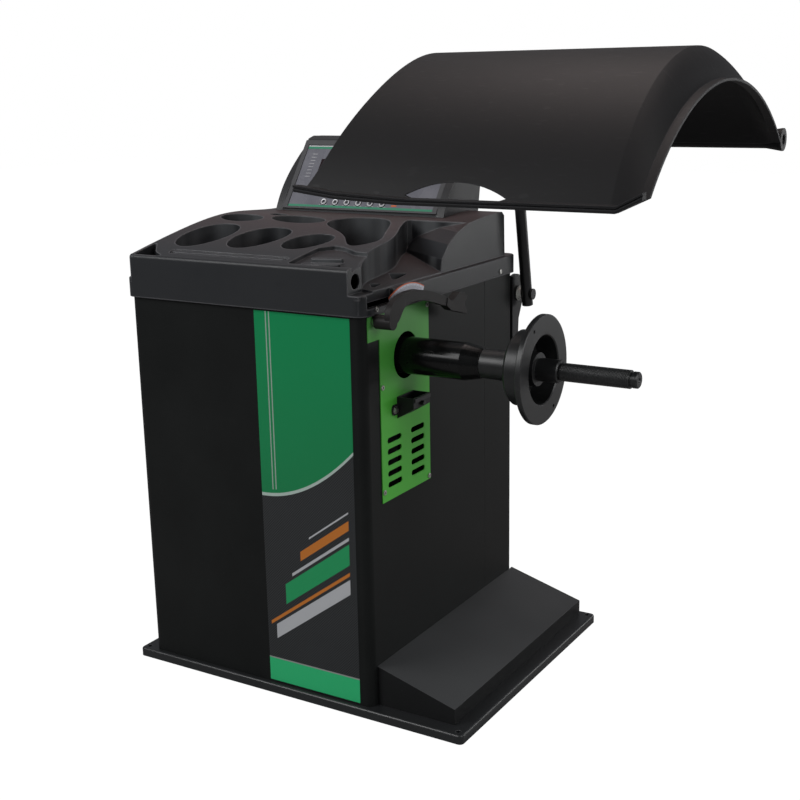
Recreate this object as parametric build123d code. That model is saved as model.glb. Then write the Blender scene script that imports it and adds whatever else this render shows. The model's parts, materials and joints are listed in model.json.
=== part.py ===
"""Wheel balancer: cabinet, floor tray, spindle unit, moulded weight tray, display, gauge and wheel guard.

Millimetres, +Z up, +X along the spindle towards the wheel, +Y to the back of the machine.
The origin is the centre of the floor bolt pattern, on the floor.
"""
import math
import os

from build123d import *

# ---------------------------------------------------------------- driving dimensions
# Floor tray
base_width = 858.0           # along X
base_depth = 688.0           # along Y
base_height = 20.0
base_sheet = 3.0
base_corner_radius = 10.0
bolt_inset = 16.0            # bolt centre to the tray's edge
bolt_hole_radius = 5.5
sleeve_wall = 3.5

# Cabinet
cabinet_width = 602.0
cabinet_depth = 657.0
cabinet_height = 852.0       # shell height above the floor tray
left_margin = 37.0           # tray edge to the cabinet
front_margin = 12.0
cabinet_sheet = 2.0
cabinet_corner_radius = 18.0
seam_depth = 511.0           # front face to the seam between front and rear shells
seam_gap = 1.0
rear_opening_height = 560.0
rear_opening_sill = 150.0
rear_cover_lap = 18.0
rear_cover_gap = 3.0         # cover to the guard bracket's foot

# Foot box beside the cabinet
foot_reach = 185.0
foot_front_gap = 22.0
foot_inner_height = 88.0
foot_outer_height = 35.0
foot_sheet = 3.0

# Side panel (all heights are above the floor tray, depths from the front face)
panel_front = 56.0
panel_back = 252.0
panel_bottom = 438.0
panel_top = 833.0
panel_sheet = 2.0
panel_lap = 14.0
tab_front = 14.0
tab_bottom = 783.0
vent_columns = (78.5, 172.6)
vent_length = 55.0
vent_height = 12.0
vent_pitch = 23.7
vent_rows = 5
vent_lowest = 465.0
screw_head_radius = 5.5
screw_head_height = 2.6

# Spindle
spindle_depth = 158.0        # front face to the spindle axis
spindle_height = 732.0       # floor tray to the spindle axis
panel_hole_radius = 49.0
housing_radius = 38.5
housing_reach = 145.0        # side face to the start of the housing's nose
nose_end = 184.0
nose_radius = 30.5
housing_inside = 250.0       # length of the housing inside the cabinet
bearing_outer_radius = 31.0
bearing_width = 16.0
shaft_radius = 15.0
running_clearance = 0.05
arbor_seat_radius = 20.0
arbor_relief = 3.0           # undercut between the flange's boss and the thread
arbor_relief_radius = 16.5
arbor_radius = 18.0
arbor_end = 509.0
arbor_tip_length = 16.0
arbor_tip_radius = 16.0
arbor_groove_length = 5.0
arbor_groove_radius = 14.5
boss_radius = 23.0
boss_end = 350.0
hub_radius = 30.0
cup_start = 257.0
cup_radius = 75.0
flange_face = 314.0
flange_thickness = 12.0
flange_radius = 108.5
recess_radius = 68.0
recess_depth = 46.0
hub_ring_radius = 35.0
flange_hole_circle = 94.5
flange_hole_radius = 4.0
flange_hole_angle = 119.0

# Drive
pulley_width = 16.0
driven_pulley_radius = 62.0
motor_pulley_radius = 22.0
belt_thickness = 3.0
belt_clearance = 0.3
motor_radius = 58.0
motor_length = 150.0
motor_offset_back = 172.0    # spindle axis to motor axis
motor_offset_down = 172.0
motor_shaft_radius = 7.0

# Weight tray (moulded top cover)
skirt_bottom = 836.0
skirt_top = 878.0
skirt_proud = 8.0
skirt_wall = 7.5
cover_wall = 4.0
cover_left_inset = 12.0
cover_right_inset = 3.0
cover_back_inset = 37.0
cover_front_edge = 929.0
deck_crest = (               # share of the depth, height, share of the rise
    (0.28, 955.0, 0.55),
    (0.56, 968.0, 1.0),
    (0.80, 977.0, 0.0),
)
deck_back_height = 981.0
deck_back_round = 9.0
tray_clear = 1100.0          # a height above all of the tray
deck_rise_left = 16.0
deck_rise_right = -6.0
deck_thickness = 10.0
seat_width = 14.0            # ledge under the tray that rests on the cabinet
seat_gap = 0.3
deck_edge_round = 8.0
rail_back = 30.0             # front face to the middle of the rail groove
rail_height = 935.4
rail_slope = 12.4
rail_depth = 5.0
deck_step = 9.0              # drop from the deck to the low corner beside the wing
trough_floor = 881.0
trough_fall = 8.0            # slope of the trough's bed, in degrees
trough_back = 448.0
trough_reach = 160.0
hump_skew = 0.72
wing_depth = 43.0
wing_inset = 28.0
wing_hole_radius = 15.5
wing_hole_back = 20.0
wing_hole_height = 902.0
pocket_rounds = (            # middle from the left and front faces, half sizes, floor height
    (102.0, 150.0, 58.0, 88.0, 905.0),
    (235.0, 163.0, 58.0, 88.0, 905.0),
    (362.0, 165.0, 48.0, 72.0, 900.0),
    (78.0, 304.0, 53.0, 42.0, 930.0),
    (205.0, 350.0, 68.0, 46.0, 926.0),
    (124.0, 384.0, 24.0, 16.0, 960.0),
)
bay_outline = (              # from the right face and the front face
    (-318.0, 384.0), (-278.0, 436.0), (-214.0, 436.0), (-164.0, 370.0), (-126.0, 286.0),
    (-100.0, 200.0), (-118.0, 158.0), (-178.0, 214.0), (-250.0, 284.0),
)
bay_floor = 905.0
trough_notches = (           # two three-cornered wells in the trough's bed
    ((-24.0, 154.0), (-42.0, 244.0), (-70.0, 212.0)),
    ((-16.0, 62.0), (-26.0, 116.0), (-44.0, 96.0)),
)
notch_floor = 876.0
corner_floor = 912.0
corner_length = 84.0
corner_depth = 78.0
corner_rim = 6.0

# Display console
display_width = 470.0
display_right_inset = 88.0
display_front = 480.0
display_bottom = 974.0
display_depth = 165.0
screen_length = 208.0        # along the sloping face
screen_tilt = 35.8           # from the vertical
bezel_thickness = 5.0
bezel_margin = 12.0
bezel_lip = 5.0
panel_low = 14.0             # panel inside the bezel, measured up the sloping face
panel_high = 187.0
cheek_width = 20.0
key_radius = 9.0
key_pitch = 33.0
key_count = 6
key_travel = 1.0
key_up_slope = 30.0
first_key_from_left = 133.0

# Wheel guard
guard_pivot_back = 27.0      # cabinet's back to the pivot
guard_pivot_height = 780.0
guard_arm_x = 24.0           # side face to the arm's centreline
guard_tube_radius = 13.0
guard_tube_wall = 2.5
guard_bar_forward = 67.0     # pivot to the bar, towards the front
guard_bar_height = 1150.0
guard_bar_end = 628.0
guard_bend_radius = 45.0
guard_arm_tail = 28.0        # tube below the pivot
guard_axle_radius = 8.0
vault_radius = 447.0
vault_crest = 1333.0
guard_rear_in = 14.0         # bar's axis to the vault's rear edge, forwards and down
guard_rear_down = 6.0
guard_wall = 5.0
guard_left = 50.0
guard_left_front = -26.0
guard_shoulder = 572.0
guard_right = 630.0
shoulder_drop = 57.0         # vault's crest to the right arch's crest
shoulder_dip = 22.0          # the same, halfway down the shoulder
guard_rim_bottom = 1077.0
rim_band = 12.0
rim_reach = 12.0
rim_bead = 2.5               # groove that parts the front rim's two beads
rim_flange = 15.0            # straight lip round the right arch
socket_wall = 5.0
socket_flare = 5.0
socket_flare_length = 34.0
spot_depth = 1.2
socket_start = 76.0
bracket_thickness = 8.0
bracket_foot_width = 52.0
bracket_bottom = 540.0
bracket_bolt_radius = 4.0
bolt_play = 0.2
handle_left = 195.0
handle_right = 388.0
handle_rise = 26.0

# Rim gauge
gauge_depth = 37.0
gauge_height = 823.0
gauge_rod_radius = 7.0
gauge_stroke = 240.0
gauge_sleeve_radius = 11.0
gauge_hub_radius = 14.5
gauge_hub_start = 9.0
gauge_hub_end = 48.0
gauge_arm_thickness = 13.0
gauge_guide_length = 120.0
gauge_collar = 8.0
gauge_arm_crest = (          # (y, z) from the rod's axis, hub to tip
    (-14.0, 7.0),
    (-3.0, 35.0),
    (25.0, 48.0),
    (65.0, 53.0),
    (103.0, 50.0),
    (143.0, 42.0),
    (180.0, 31.0),
    (215.0, 17.0),
)
gauge_arm_belly = (          # the same along the lower edge, tip to hub
    (211.0, 0.0),
    (177.0, 10.0),
    (128.0, 24.0),
    (76.0, 30.0),
    (41.0, 22.0),
    (23.0, 3.0),
    (14.0, -3.0),
)
gauge_claw_outline = (
    (215.0, 17.0),
    (227.0, 9.0),
    (241.0, 8.0),
    (253.0, 15.0),
    (266.0, 21.0),
    (289.0, 17.0),
    (289.0, 11.0),
    (300.0, 9.0),
    (297.0, 2.0),
    (291.0, -1.0),
    (285.0, -7.0),
    (293.0, -17.0),
    (299.0, -31.0),
    (281.0, -26.0),
    (259.0, -20.0),
    (229.0, -12.0),
    (211.0, 0.0),
)
scale_radius = 150.0
scale_band = 14.0
scale_from = 64.0            # degrees about the spindle, from the back
scale_to = 120.0

# Holder on the side panel
holder_front = 118.0
holder_length = 66.0
holder_reach = 40.0
holder_top = 651.0
holder_height = 46.0
holder_outer_height = 22.0
holder_wall = 3.0

# ---------------------------------------------------------------- reference planes
base_left = -base_width / 2
base_front = -base_depth / 2
left = base_left + left_margin               # cabinet's left face
right = left + cabinet_width                 # cabinet's right face, where depths along X start
front = base_front + front_margin
back = front + cabinet_depth
floor = base_height                          # heights of the machine start on the tray
spindle_y = front + spindle_depth
spindle_z = floor + spindle_height
foot_reserve = bracket_thickness + bracket_foot_width + rear_cover_gap
rear_opening_width = cabinet_width - 2 * (foot_reserve + rear_cover_lap)


# ---------------------------------------------------------------- helpers
def block(x0, x1, y0, y1, z0, z1):
    """A box between two corners."""
    return Pos((x0 + x1) / 2, (y0 + y1) / 2, (z0 + z1) / 2) * Box(x1 - x0, y1 - y0, z1 - z0)


def rod_x(x0, x1, y, z, radius):
    """A cylinder along X."""
    return Pos((x0 + x1) / 2, y, z) * Rot(0, 90, 0) * Cylinder(radius, x1 - x0)


def rod_y(x, y0, y1, z, radius):
    """A cylinder along Y."""
    return Pos(x, (y0 + y1) / 2, z) * Rot(90, 0, 0) * Cylinder(radius, y1 - y0)


def rod_z(x, y, z0, z1, radius):
    """A cylinder along Z."""
    return Pos(x, y, (z0 + z1) / 2) * Cylinder(radius, z1 - z0)


def side_face(points, x):
    """A polygon of (y, z) points in the plane of one x."""
    return make_face(Polyline(*[(x, y, z) for y, z in points], close=True))


def prism_x(points, x0, x1):
    """A polygon of (y, z) points drawn out along X."""
    return extrude(side_face(points, x0), amount=x1 - x0, dir=(1, 0, 0))


def prism_y(points, y0, y1):
    """A polygon of (x, z) points drawn out along Y."""
    face = make_face(Polyline(*[(x, y0, z) for x, z in points], close=True))
    return extrude(face, amount=y1 - y0, dir=(0, 1, 0))


def turned_x(outline, y=0.0, z=0.0):
    """A solid of revolution about the X line through (y, z), from (x, radius) points."""
    face = make_face(Polyline(*[(x, radius, 0) for x, radius in outline], close=True))
    return Pos(0, y, z) * revolve(face, axis=Axis.X)


def screws_x(places, x, radius=screw_head_radius, height=screw_head_height):
    """Round screw heads on a face that looks along +X, at (y, z) places."""
    heads = []
    for y, z in places:
        head = rod_x(x, x + height, y, z, radius)
        head = fillet(head.edges().sort_by(Axis.X)[-1], height * 0.45)
        heads.append(head)
    return heads


def save(name, *solids):
    """Write one sub-part, as one solid or as a group of separate solids."""
    bodies = []
    for item in solids:
        bodies += item.solids()
    shape = bodies[0] if len(bodies) == 1 else Compound(children=bodies)
    shape.label = name
    export_step(shape, f"parts/{name}.step")


# ---------------------------------------------------------------- floor tray and cabinet
def bolt_places():
    """Floor bolt centres, one in each corner of the tray."""
    reach_x = base_width / 2 - bolt_inset
    reach_y = base_depth / 2 - bolt_inset
    return [(sx * reach_x, sy * reach_y) for sx in (-1, 1) for sy in (-1, 1)]


def base_tray():
    """A pressed tray, open below, with a spacer sleeve under each bolt hole."""
    outer = Pos(0, 0, base_height / 2) * Box(base_width, base_depth, base_height)
    outer = fillet(outer.edges().filter_by(Axis.Z), base_corner_radius)
    outer = fillet(outer.faces().sort_by(Axis.Z)[-1].edges(), base_height * 0.25)
    hollow = Pos(0, 0, (base_height - base_sheet) / 2) * Box(
        base_width - 2 * base_sheet, base_depth - 2 * base_sheet, base_height - base_sheet)
    hollow = fillet(hollow.edges().filter_by(Axis.Z), base_corner_radius - base_sheet)
    tray = outer - hollow
    for x, y in bolt_places():
        tray += rod_z(x, y, 0, base_height - base_sheet / 2, bolt_hole_radius + sleeve_wall)
    for x, y in bolt_places():
        tray -= rod_z(x, y, -1, base_height + 1, bolt_hole_radius)
    return tray


def cabinet_ring(inset, z0, z1):
    """The cabinet's rounded rectangle, drawn up and set in by inset."""
    ring = block(left + inset, right - inset, front + inset, back - inset, z0, z1)
    return fillet(ring.edges().filter_by(Axis.Z), max(cabinet_corner_radius - inset, 1.0))


def cabinet_shells():
    """The folded front shell and the folded rear shell, butted at a seam."""
    top = floor + cabinet_height
    walls = cabinet_ring(0, floor, top) - cabinet_ring(cabinet_sheet, floor - 1, top + 1)
    seam = front + seam_depth
    front_shell = walls & block(left - 1, right + 1, front - 1, seam - seam_gap / 2, 0, top + 1)
    rear_shell = walls & block(left - 1, right + 1, seam + seam_gap / 2, back + 1, 0, top + 1)
    opening = block(right - cabinet_sheet - 1, right + 1,
                    front + panel_front + panel_lap, front + panel_back - panel_lap,
                    floor + panel_bottom + panel_lap, floor + panel_top - panel_lap)
    gauge_hole = rod_x(right - cabinet_sheet - 1, right + 1, front + gauge_depth, floor + gauge_height,
                       gauge_sleeve_radius + 3)
    middle = (left + right) / 2
    rear_opening = block(middle - rear_opening_width / 2, middle + rear_opening_width / 2,
                         back - cabinet_sheet - 1, back + 1,
                         floor + rear_opening_sill, floor + rear_opening_sill + rear_opening_height)
    rear_shell -= rear_opening
    for hole in inlet_holes():
        rear_shell -= hole
    for z in bracket_bolt_heights():
        rear_shell -= rod_y(bracket_bolt_x, back - cabinet_sheet - 1, back + 1, z,
                            bracket_bolt_radius + bolt_play)
    return front_shell - opening - gauge_hole, rear_shell


def foot_box():
    """The sloping step box beside the cabinet, open below and towards the cabinet."""
    outer_face = right + foot_reach
    y0 = front + foot_front_gap
    profile = [(right, floor), (outer_face, floor), (outer_face, floor + foot_outer_height),
               (right, floor + foot_inner_height)]
    inside = [(right - 1, floor - 1), (outer_face - foot_sheet, floor - 1),
              (outer_face - foot_sheet, floor + foot_outer_height - foot_sheet),
              (right - 1, floor + foot_inner_height - foot_sheet)]
    return prism_y(profile, y0, back) - prism_y(inside, y0 + foot_sheet, back - foot_sheet)


def side_panel():
    """The coloured service panel: a tab at the top, two columns of vents and the spindle hole."""
    x0 = right
    x1 = right + panel_sheet
    outline = [(front + panel_front, floor + panel_bottom), (front + panel_back, floor + panel_bottom),
               (front + panel_back, floor + panel_top), (front + tab_front, floor + panel_top),
               (front + tab_front, floor + tab_bottom), (front + panel_front, floor + tab_bottom)]
    panel = prism_x(outline, x0, x1)
    panel -= rod_x(x0 - 1, x1 + 1, spindle_y, spindle_z, panel_hole_radius)
    panel -= rod_x(x0 - 1, x1 + 1, front + gauge_depth, floor + gauge_height, gauge_sleeve_radius + 0.3)
    for column in vent_columns:
        for row in range(vent_rows):
            z = floor + vent_lowest + row * vent_pitch
            y = front + column
            slot = block(x0 - 1, x1 + 1, y, y + vent_length, z, z + vent_height)
            panel -= fillet(slot.edges().filter_by(Axis.X), vent_height * 0.48)
    return panel


def panel_screw_places():
    """Screws round the side panel's edge."""
    inset = 7.0
    y0 = front + panel_front + inset
    y1 = front + panel_back - inset
    return [(y0, floor + panel_bottom + 22), (y1, floor + panel_bottom + 8),
            (y0, floor + panel_bottom + 244), (y1, floor + panel_top - 10)]


# ---------------------------------------------------------------- rear cover and mains entry
inlet_x = left + 90
inlet_z = floor + 90
inlet_width = 28.0
inlet_height = 48.0
switch_x = left + 150
switch_width = 22.0
switch_height = 30.0
rocker_tilt = 6.0            # each way from level
rocker_sink = 7.0            # trunnions behind the rear face
trunnion_radius = 1.8


def inlet_holes():
    """The two rectangular holes low in the rear shell."""
    y0 = back - cabinet_sheet - 1
    return [block(inlet_x - inlet_width / 2, inlet_x + inlet_width / 2, y0, back + 1,
                  inlet_z - inlet_height / 2, inlet_z + inlet_height / 2),
            block(switch_x - switch_width / 2, switch_x + switch_width / 2, y0, back + 1,
                  inlet_z - switch_height / 2, inlet_z + switch_height / 2)]


def mains_inlet():
    """A screwed-in appliance inlet with three blades in its well."""
    gap = 0.2
    body = block(inlet_x - inlet_width / 2 + gap, inlet_x + inlet_width / 2 - gap, back - 24, back,
                 inlet_z - inlet_height / 2 + gap, inlet_z + inlet_height / 2 - gap)
    plate = block(inlet_x - inlet_width / 2 - 11, inlet_x + inlet_width / 2 + 11, back, back + 3,
                  inlet_z - inlet_height / 2 - 3, inlet_z + inlet_height / 2 + 3)
    plate = fillet(plate.edges().filter_by(Axis.Y), 4)
    well = block(inlet_x - 9, inlet_x + 9, back - 16, back + 4, inlet_z - 14, inlet_z + 14)
    inlet = body + plate - fillet(well.edges().filter_by(Axis.Y), 3)
    for dx, dz in ((0, 6), (-5, -4), (5, -4)):
        inlet += block(inlet_x + dx - 1, inlet_x + dx + 1, back - 17, back - 4,
                       inlet_z + dz - 3, inlet_z + dz + 3)
    return inlet


def switch_frame():
    """The rocker's frame, snapped into the rear shell."""
    gap = 0.2
    body = block(switch_x - switch_width / 2 + gap, switch_x + switch_width / 2 - gap, back - 20, back,
                 inlet_z - switch_height / 2 + gap, inlet_z + switch_height / 2 - gap)
    rim = block(switch_x - switch_width / 2 - 2, switch_x + switch_width / 2 + 2, back, back + 2,
                inlet_z - switch_height / 2 - 2, inlet_z + switch_height / 2 + 2)
    well = block(switch_x - switch_width / 2 + 2, switch_x + switch_width / 2 - 2, back - 14, back + 3,
                 inlet_z - switch_height / 2 + 2, inlet_z + switch_height / 2 - 2)
    sockets = rod_x(switch_x - switch_width, switch_x + switch_width, back - rocker_sink, inlet_z,
                    trunnion_radius + running_clearance)
    return body + rim - well - sockets


def rocker():
    """The rocker key, a shallow V that tips on two trunnions."""
    half = switch_height / 2 - 3.5
    y_mid = back - rocker_sink
    key = [(back + 3.5, inlet_z - half), (back + 0.5, inlet_z), (back + 3.5, inlet_z + half),
           (y_mid - 3, inlet_z + half * 0.5), (y_mid - 3, inlet_z - half * 0.5)]
    x0 = switch_x - switch_width / 2 + 2.3
    x1 = switch_x + switch_width / 2 - 2.3
    pivot = (switch_x, y_mid, inlet_z)
    tipped = Pos(*pivot) * Rot(-rocker_tilt, 0, 0) * Pos(*[-value for value in pivot]) * prism_x(key, x0, x1)
    return tipped + rod_x(x0 - 1.6, x1 + 1.6, y_mid, inlet_z, trunnion_radius)


def rear_cover():
    """The service cover screwed over the rear opening, with two rows of louvre slots."""
    middle = (left + right) / 2
    half = rear_opening_width / 2 + rear_cover_lap
    z0 = floor + rear_opening_sill - rear_cover_lap
    z1 = floor + rear_opening_sill + rear_opening_height + rear_cover_lap
    cover = block(middle - half, middle + half, back, back + cabinet_sheet, z0, z1)
    cover = fillet(cover.edges().filter_by(Axis.Y), 6)
    for column in (-1, 1):
        for row in range(6):
            x = middle + column * 110
            z = z0 + 60 + row * 26
            slot = block(x - 60, x + 60, back - 1, back + cabinet_sheet + 1, z, z + 7)
            cover -= fillet(slot.edges().filter_by(Axis.Y), 3.3)
    return cover


def rear_cover_screws():
    """Screws in the service cover's corners and long edges."""
    middle = (left + right) / 2
    reach = rear_opening_width / 2 + rear_cover_lap / 2
    z0 = floor + rear_opening_sill - rear_cover_lap / 2
    z1 = floor + rear_opening_sill + rear_opening_height + rear_cover_lap / 2
    y0 = back + cabinet_sheet
    heads = []
    for side in (-1, 1):
        for z in (z0, (z0 + z1) / 2, z1):
            head = rod_y(middle + side * reach, y0, y0 + screw_head_height, z, screw_head_radius)
            heads.append(fillet(head.edges().sort_by(Axis.Y)[-1], screw_head_height * 0.45))
    return heads


# ---------------------------------------------------------------- spindle unit
post_x0 = right - 250
post_x1 = right - 60
post_half = 60.0
post_wall = 6.0
post_height = 590.0
post_cap = 12.0
flexure_thickness = 5.0
flexure_half = 56.0
sensor_radius = 13.0


def spindle_post():
    """The welded box column that carries the spindle unit on the floor tray."""
    z1 = floor + post_height
    post = block(post_x0, post_x1, spindle_y - post_half, spindle_y + post_half, floor, z1)
    post -= block(post_x0 + post_wall, post_x1 - post_wall, spindle_y - post_half + post_wall,
                  spindle_y + post_half - post_wall, floor - 1, z1 + 1)
    post += block(post_x0 - 10, post_x1 + 10, spindle_y - post_half - 10, spindle_y + post_half + 10,
                  z1, z1 + post_cap)
    return post


def flexures():
    """Two spring plates that hang the spindle housing over the column."""
    z0 = floor + post_height + post_cap
    plates = []
    for x in (post_x0 + 12, post_x1 - 12 - flexure_thickness):
        plate = block(x, x + flexure_thickness, spindle_y - flexure_half, spindle_y + flexure_half,
                      z0, spindle_z + flexure_half)
        plate -= rod_x(x - 1, x + flexure_thickness + 1, spindle_y, spindle_z, housing_radius)
        for side in (-1, 1):
            window = block(x - 1, x + flexure_thickness + 1,
                           spindle_y + side * 32 - 12, spindle_y + side * 32 + 12, z0 + 14, z0 + 44)
            plate -= window
        plates.append(plate)
    return plates


def force_sensors():
    """Two piezo stacks between the column and the housing, and their studs."""
    z0 = floor + post_height + post_cap
    z1 = spindle_z - housing_radius
    stacks = []
    for x in (post_x0 + 45, post_x1 - 50):
        stack = rod_z(x, spindle_y, z0, z0 + 26, 9)
        stack += rod_z(x, spindle_y, z0 + 26, z0 + 42, sensor_radius)
        stack += rod_z(x, spindle_y, z0 + 42, z1 + 0.4, 9)
        stacks.append(stack - rod_x(x - 30, x + 30, spindle_y, spindle_z, housing_radius))
    return stacks


housing_start = right - housing_inside


def spindle_housing():
    """The stationary tube, with a tapered nose and a bearing seat at each end."""
    nose = right + nose_end
    outline = [(housing_start, 0), (housing_start, housing_radius),
               (right + housing_reach, housing_radius), (nose, nose_radius), (nose, 0)]
    bore = [(housing_start - 1, 0), (housing_start - 1, bearing_outer_radius),
            (housing_start + bearing_width, bearing_outer_radius),
            (housing_start + bearing_width, shaft_radius + 8),
            (right + housing_reach - bearing_width - 20, shaft_radius + 8),
            (right + housing_reach - bearing_width - 20, bearing_outer_radius),
            (right + housing_reach - 20, bearing_outer_radius),
            (right + housing_reach - 20, shaft_radius + 3),
            (nose + 1, shaft_radius + 3), (nose + 1, 0)]
    return turned_x(outline, spindle_y, spindle_z) - turned_x(bore, spindle_y, spindle_z)


def ball_bearing(x):
    """A shielded ball bearing whose bore runs on the shaft."""
    bore = shaft_radius + running_clearance
    outline = [(x, bore), (x + bearing_width, bore), (x + bearing_width, bearing_outer_radius),
               (x, bearing_outer_radius)]
    ring = turned_x(outline, spindle_y, spindle_z)
    for face_x, inner, outer in ((x - 1, shaft_radius + 5, bearing_outer_radius - 5),
                                 (x + bearing_width - 1.2, shaft_radius + 5, bearing_outer_radius - 5)):
        groove = rod_x(face_x, face_x + 2.2, spindle_y, spindle_z, outer)
        groove -= rod_x(face_x - 1, face_x + 4, spindle_y, spindle_z, inner)
        ring -= groove
    return ring


pulley_x = housing_start - 44


def spindle_shaft():
    """The shaft: bearing length, flange seat, arbor, clamp groove and plain tip, from one bar."""
    start = pulley_x - 4
    tip = right + arbor_end
    seat_start = right + nose_end + 1
    seat_end = right + boss_end - 1
    thread_start = right + boss_end + arbor_relief
    outline = [(start, 0), (start, shaft_radius), (seat_start, shaft_radius),
               (seat_start, arbor_seat_radius), (seat_end, arbor_seat_radius),
               (seat_end, arbor_relief_radius), (thread_start, arbor_relief_radius),
               (thread_start, arbor_radius), (tip - arbor_tip_length, arbor_radius),
               (tip - arbor_tip_length, arbor_groove_radius),
               (tip - arbor_tip_length + arbor_groove_length, arbor_groove_radius),
               (tip - arbor_tip_length + arbor_groove_length, arbor_tip_radius),
               (tip - 2, arbor_tip_radius), (tip, arbor_tip_radius - 2), (tip, 0)]
    return turned_x(outline, spindle_y, spindle_z)


def wheel_flange():
    """The cup-shaped wheel flange, pushed over the shaft."""
    x_hub = right + nose_end + 1.5
    x_cup = right + cup_start
    x_face = right + flange_face
    x_back = x_face - flange_thickness
    x_floor = x_face - recess_depth
    outline = [(x_hub, arbor_seat_radius), (x_hub, hub_radius), (x_cup, hub_radius + 1.5),
               (x_cup + 1, cup_radius - 6), (x_cup + 7, cup_radius), (x_back, cup_radius),
               (x_back, flange_radius - 1.5), (x_back + 1.5, flange_radius),
               (x_face - 1.5, flange_radius), (x_face, flange_radius - 1.5),
               (x_face, recess_radius + 2), (x_face - 2, recess_radius),
               (x_floor, recess_radius - 3), (x_floor, hub_ring_radius),
               (x_face - 10, hub_ring_radius - 2), (x_face - 10, boss_radius),
               (right + boss_end - 2, boss_radius), (right + boss_end, boss_radius - 2),
               (right + boss_end, arbor_seat_radius)]
    flange = turned_x(outline, spindle_y, spindle_z)
    for turn in (0, 180):
        angle = math.radians(flange_hole_angle + turn)
        y = spindle_y + flange_hole_circle * math.cos(angle)
        z = spindle_z + flange_hole_circle * math.sin(angle)
        flange -= rod_x(x_back - 1, x_face + 1, y, z, flange_hole_radius)
    return flange


def driven_pulley():
    """The ribbed belt pulley on the shaft's inner end."""
    x0 = pulley_x
    outline = [(x0, shaft_radius), (x0, driven_pulley_radius + 2), (x0 + 1.5, driven_pulley_radius + 2),
               (x0 + 1.5, driven_pulley_radius), (x0 + pulley_width - 1.5, driven_pulley_radius),
               (x0 + pulley_width - 1.5, driven_pulley_radius + 2),
               (x0 + pulley_width, driven_pulley_radius + 2), (x0 + pulley_width, shaft_radius)]
    pulley = turned_x(outline, spindle_y, spindle_z)
    for step in range(5):
        angle = math.radians(72 * step + 36)
        y = spindle_y + 38 * math.cos(angle)
        z = spindle_z + 38 * math.sin(angle)
        pulley -= rod_x(x0 - 1, x0 + pulley_width + 1, y, z, 12)
    return pulley


encoder_x = housing_start - 14
encoder_radius = 66.0


def encoder_disc():
    """The slotted disc that reads the spindle's turn, on its own collar."""
    x0 = encoder_x
    disc = rod_x(x0, x0 + 1.5, spindle_y, spindle_z, encoder_radius)
    disc += rod_x(x0, x0 + 8, spindle_y, spindle_z, shaft_radius + 7)
    disc -= rod_x(x0 - 1, x0 + 9, spindle_y, spindle_z, shaft_radius)
    for step in range(16):
        angle = 22.5 * step
        slot = Pos(x0, 0, encoder_radius - 8) * Box(6, 3, 9)
        disc -= Pos(0, spindle_y, spindle_z) * Rot(angle, 0, 0) * slot
    return disc


def encoder_reader():
    """The forked light gate that straddles the disc's rim, on a post from the column."""
    z0 = floor + post_height + post_cap
    z_rim = spindle_z - encoder_radius
    x0 = encoder_x
    body = block(x0 - 7, x0 + 9, spindle_y - 10, spindle_y + 10, z_rim - 14, z_rim + 12)
    body -= block(x0 - 2.5, x0 + 4, spindle_y - 11, spindle_y + 11, z_rim - 4, z_rim + 13)
    arm_end = post_x0
    bracket = block(x0 - 7, arm_end, spindle_y - 10, spindle_y + 10, z0, z0 + 3)
    bracket += block(x0 - 7, x0 + 9, spindle_y - 10, spindle_y + 10, z0, z_rim - 14)
    return body + bracket


# ---------------------------------------------------------------- belt drive
motor_y = spindle_y + motor_offset_back
motor_z = spindle_z - motor_offset_down
motor_face = pulley_x + pulley_width + 14


def drive_motor():
    """The induction motor: ribbed can, end caps and terminal box."""
    x1 = motor_face + motor_length
    outline = [(motor_face, motor_shaft_radius + running_clearance),
               (motor_face, motor_radius * 0.45), (motor_face + 8, motor_radius * 0.5),
               (motor_face + 12, motor_radius * 0.92), (motor_face + 26, motor_radius),
               (x1 - 26, motor_radius), (x1 - 12, motor_radius * 0.92), (x1, motor_radius * 0.6),
               (x1, motor_shaft_radius + running_clearance)]
    motor = turned_x(outline, motor_y, motor_z)
    box_x = (motor_face + x1) / 2
    motor += block(box_x - 32, box_x + 32, motor_y - 22, motor_y + 22, motor_z, motor_z + motor_radius + 22)
    motor -= rod_x(motor_face - 1, x1 + 1, motor_y, motor_z, motor_shaft_radius + running_clearance)
    return motor


def motor_bracket():
    """The folded plate that hangs the motor behind the column."""
    x0 = motor_face + 34
    x1 = min(motor_face + motor_length - 34, post_x1)
    y0 = spindle_y + post_half
    y1 = motor_y - motor_radius + 6
    z_low = motor_z - 50
    z_high = min(motor_z + 50, floor + post_height - 4)
    plate = block(x0, x1, y0, y0 + 5, z_low, z_high)
    for z in (z_low, z_high - 5):
        plate += block(x0, x1, y0, y1 + 12, z, z + 5)
    saddle = block(x0, x1, y1 - 8, y1 + 12, z_low, z_high)
    return plate + saddle - rod_x(x0 - 1, x1 + 1, motor_y, motor_z, motor_radius)


def motor_rotor():
    """The motor's shaft and its small belt pulley."""
    x0 = pulley_x
    end = motor_face + motor_length - 2
    outline = [(x0, 0), (x0, motor_pulley_radius + 2), (x0 + 1.5, motor_pulley_radius + 2),
               (x0 + 1.5, motor_pulley_radius), (x0 + pulley_width - 1.5, motor_pulley_radius),
               (x0 + pulley_width - 1.5, motor_pulley_radius + 2),
               (x0 + pulley_width, motor_pulley_radius + 2), (x0 + pulley_width, motor_shaft_radius),
               (end, motor_shaft_radius), (end, 0)]
    return turned_x(outline, motor_y, motor_z)


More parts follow.
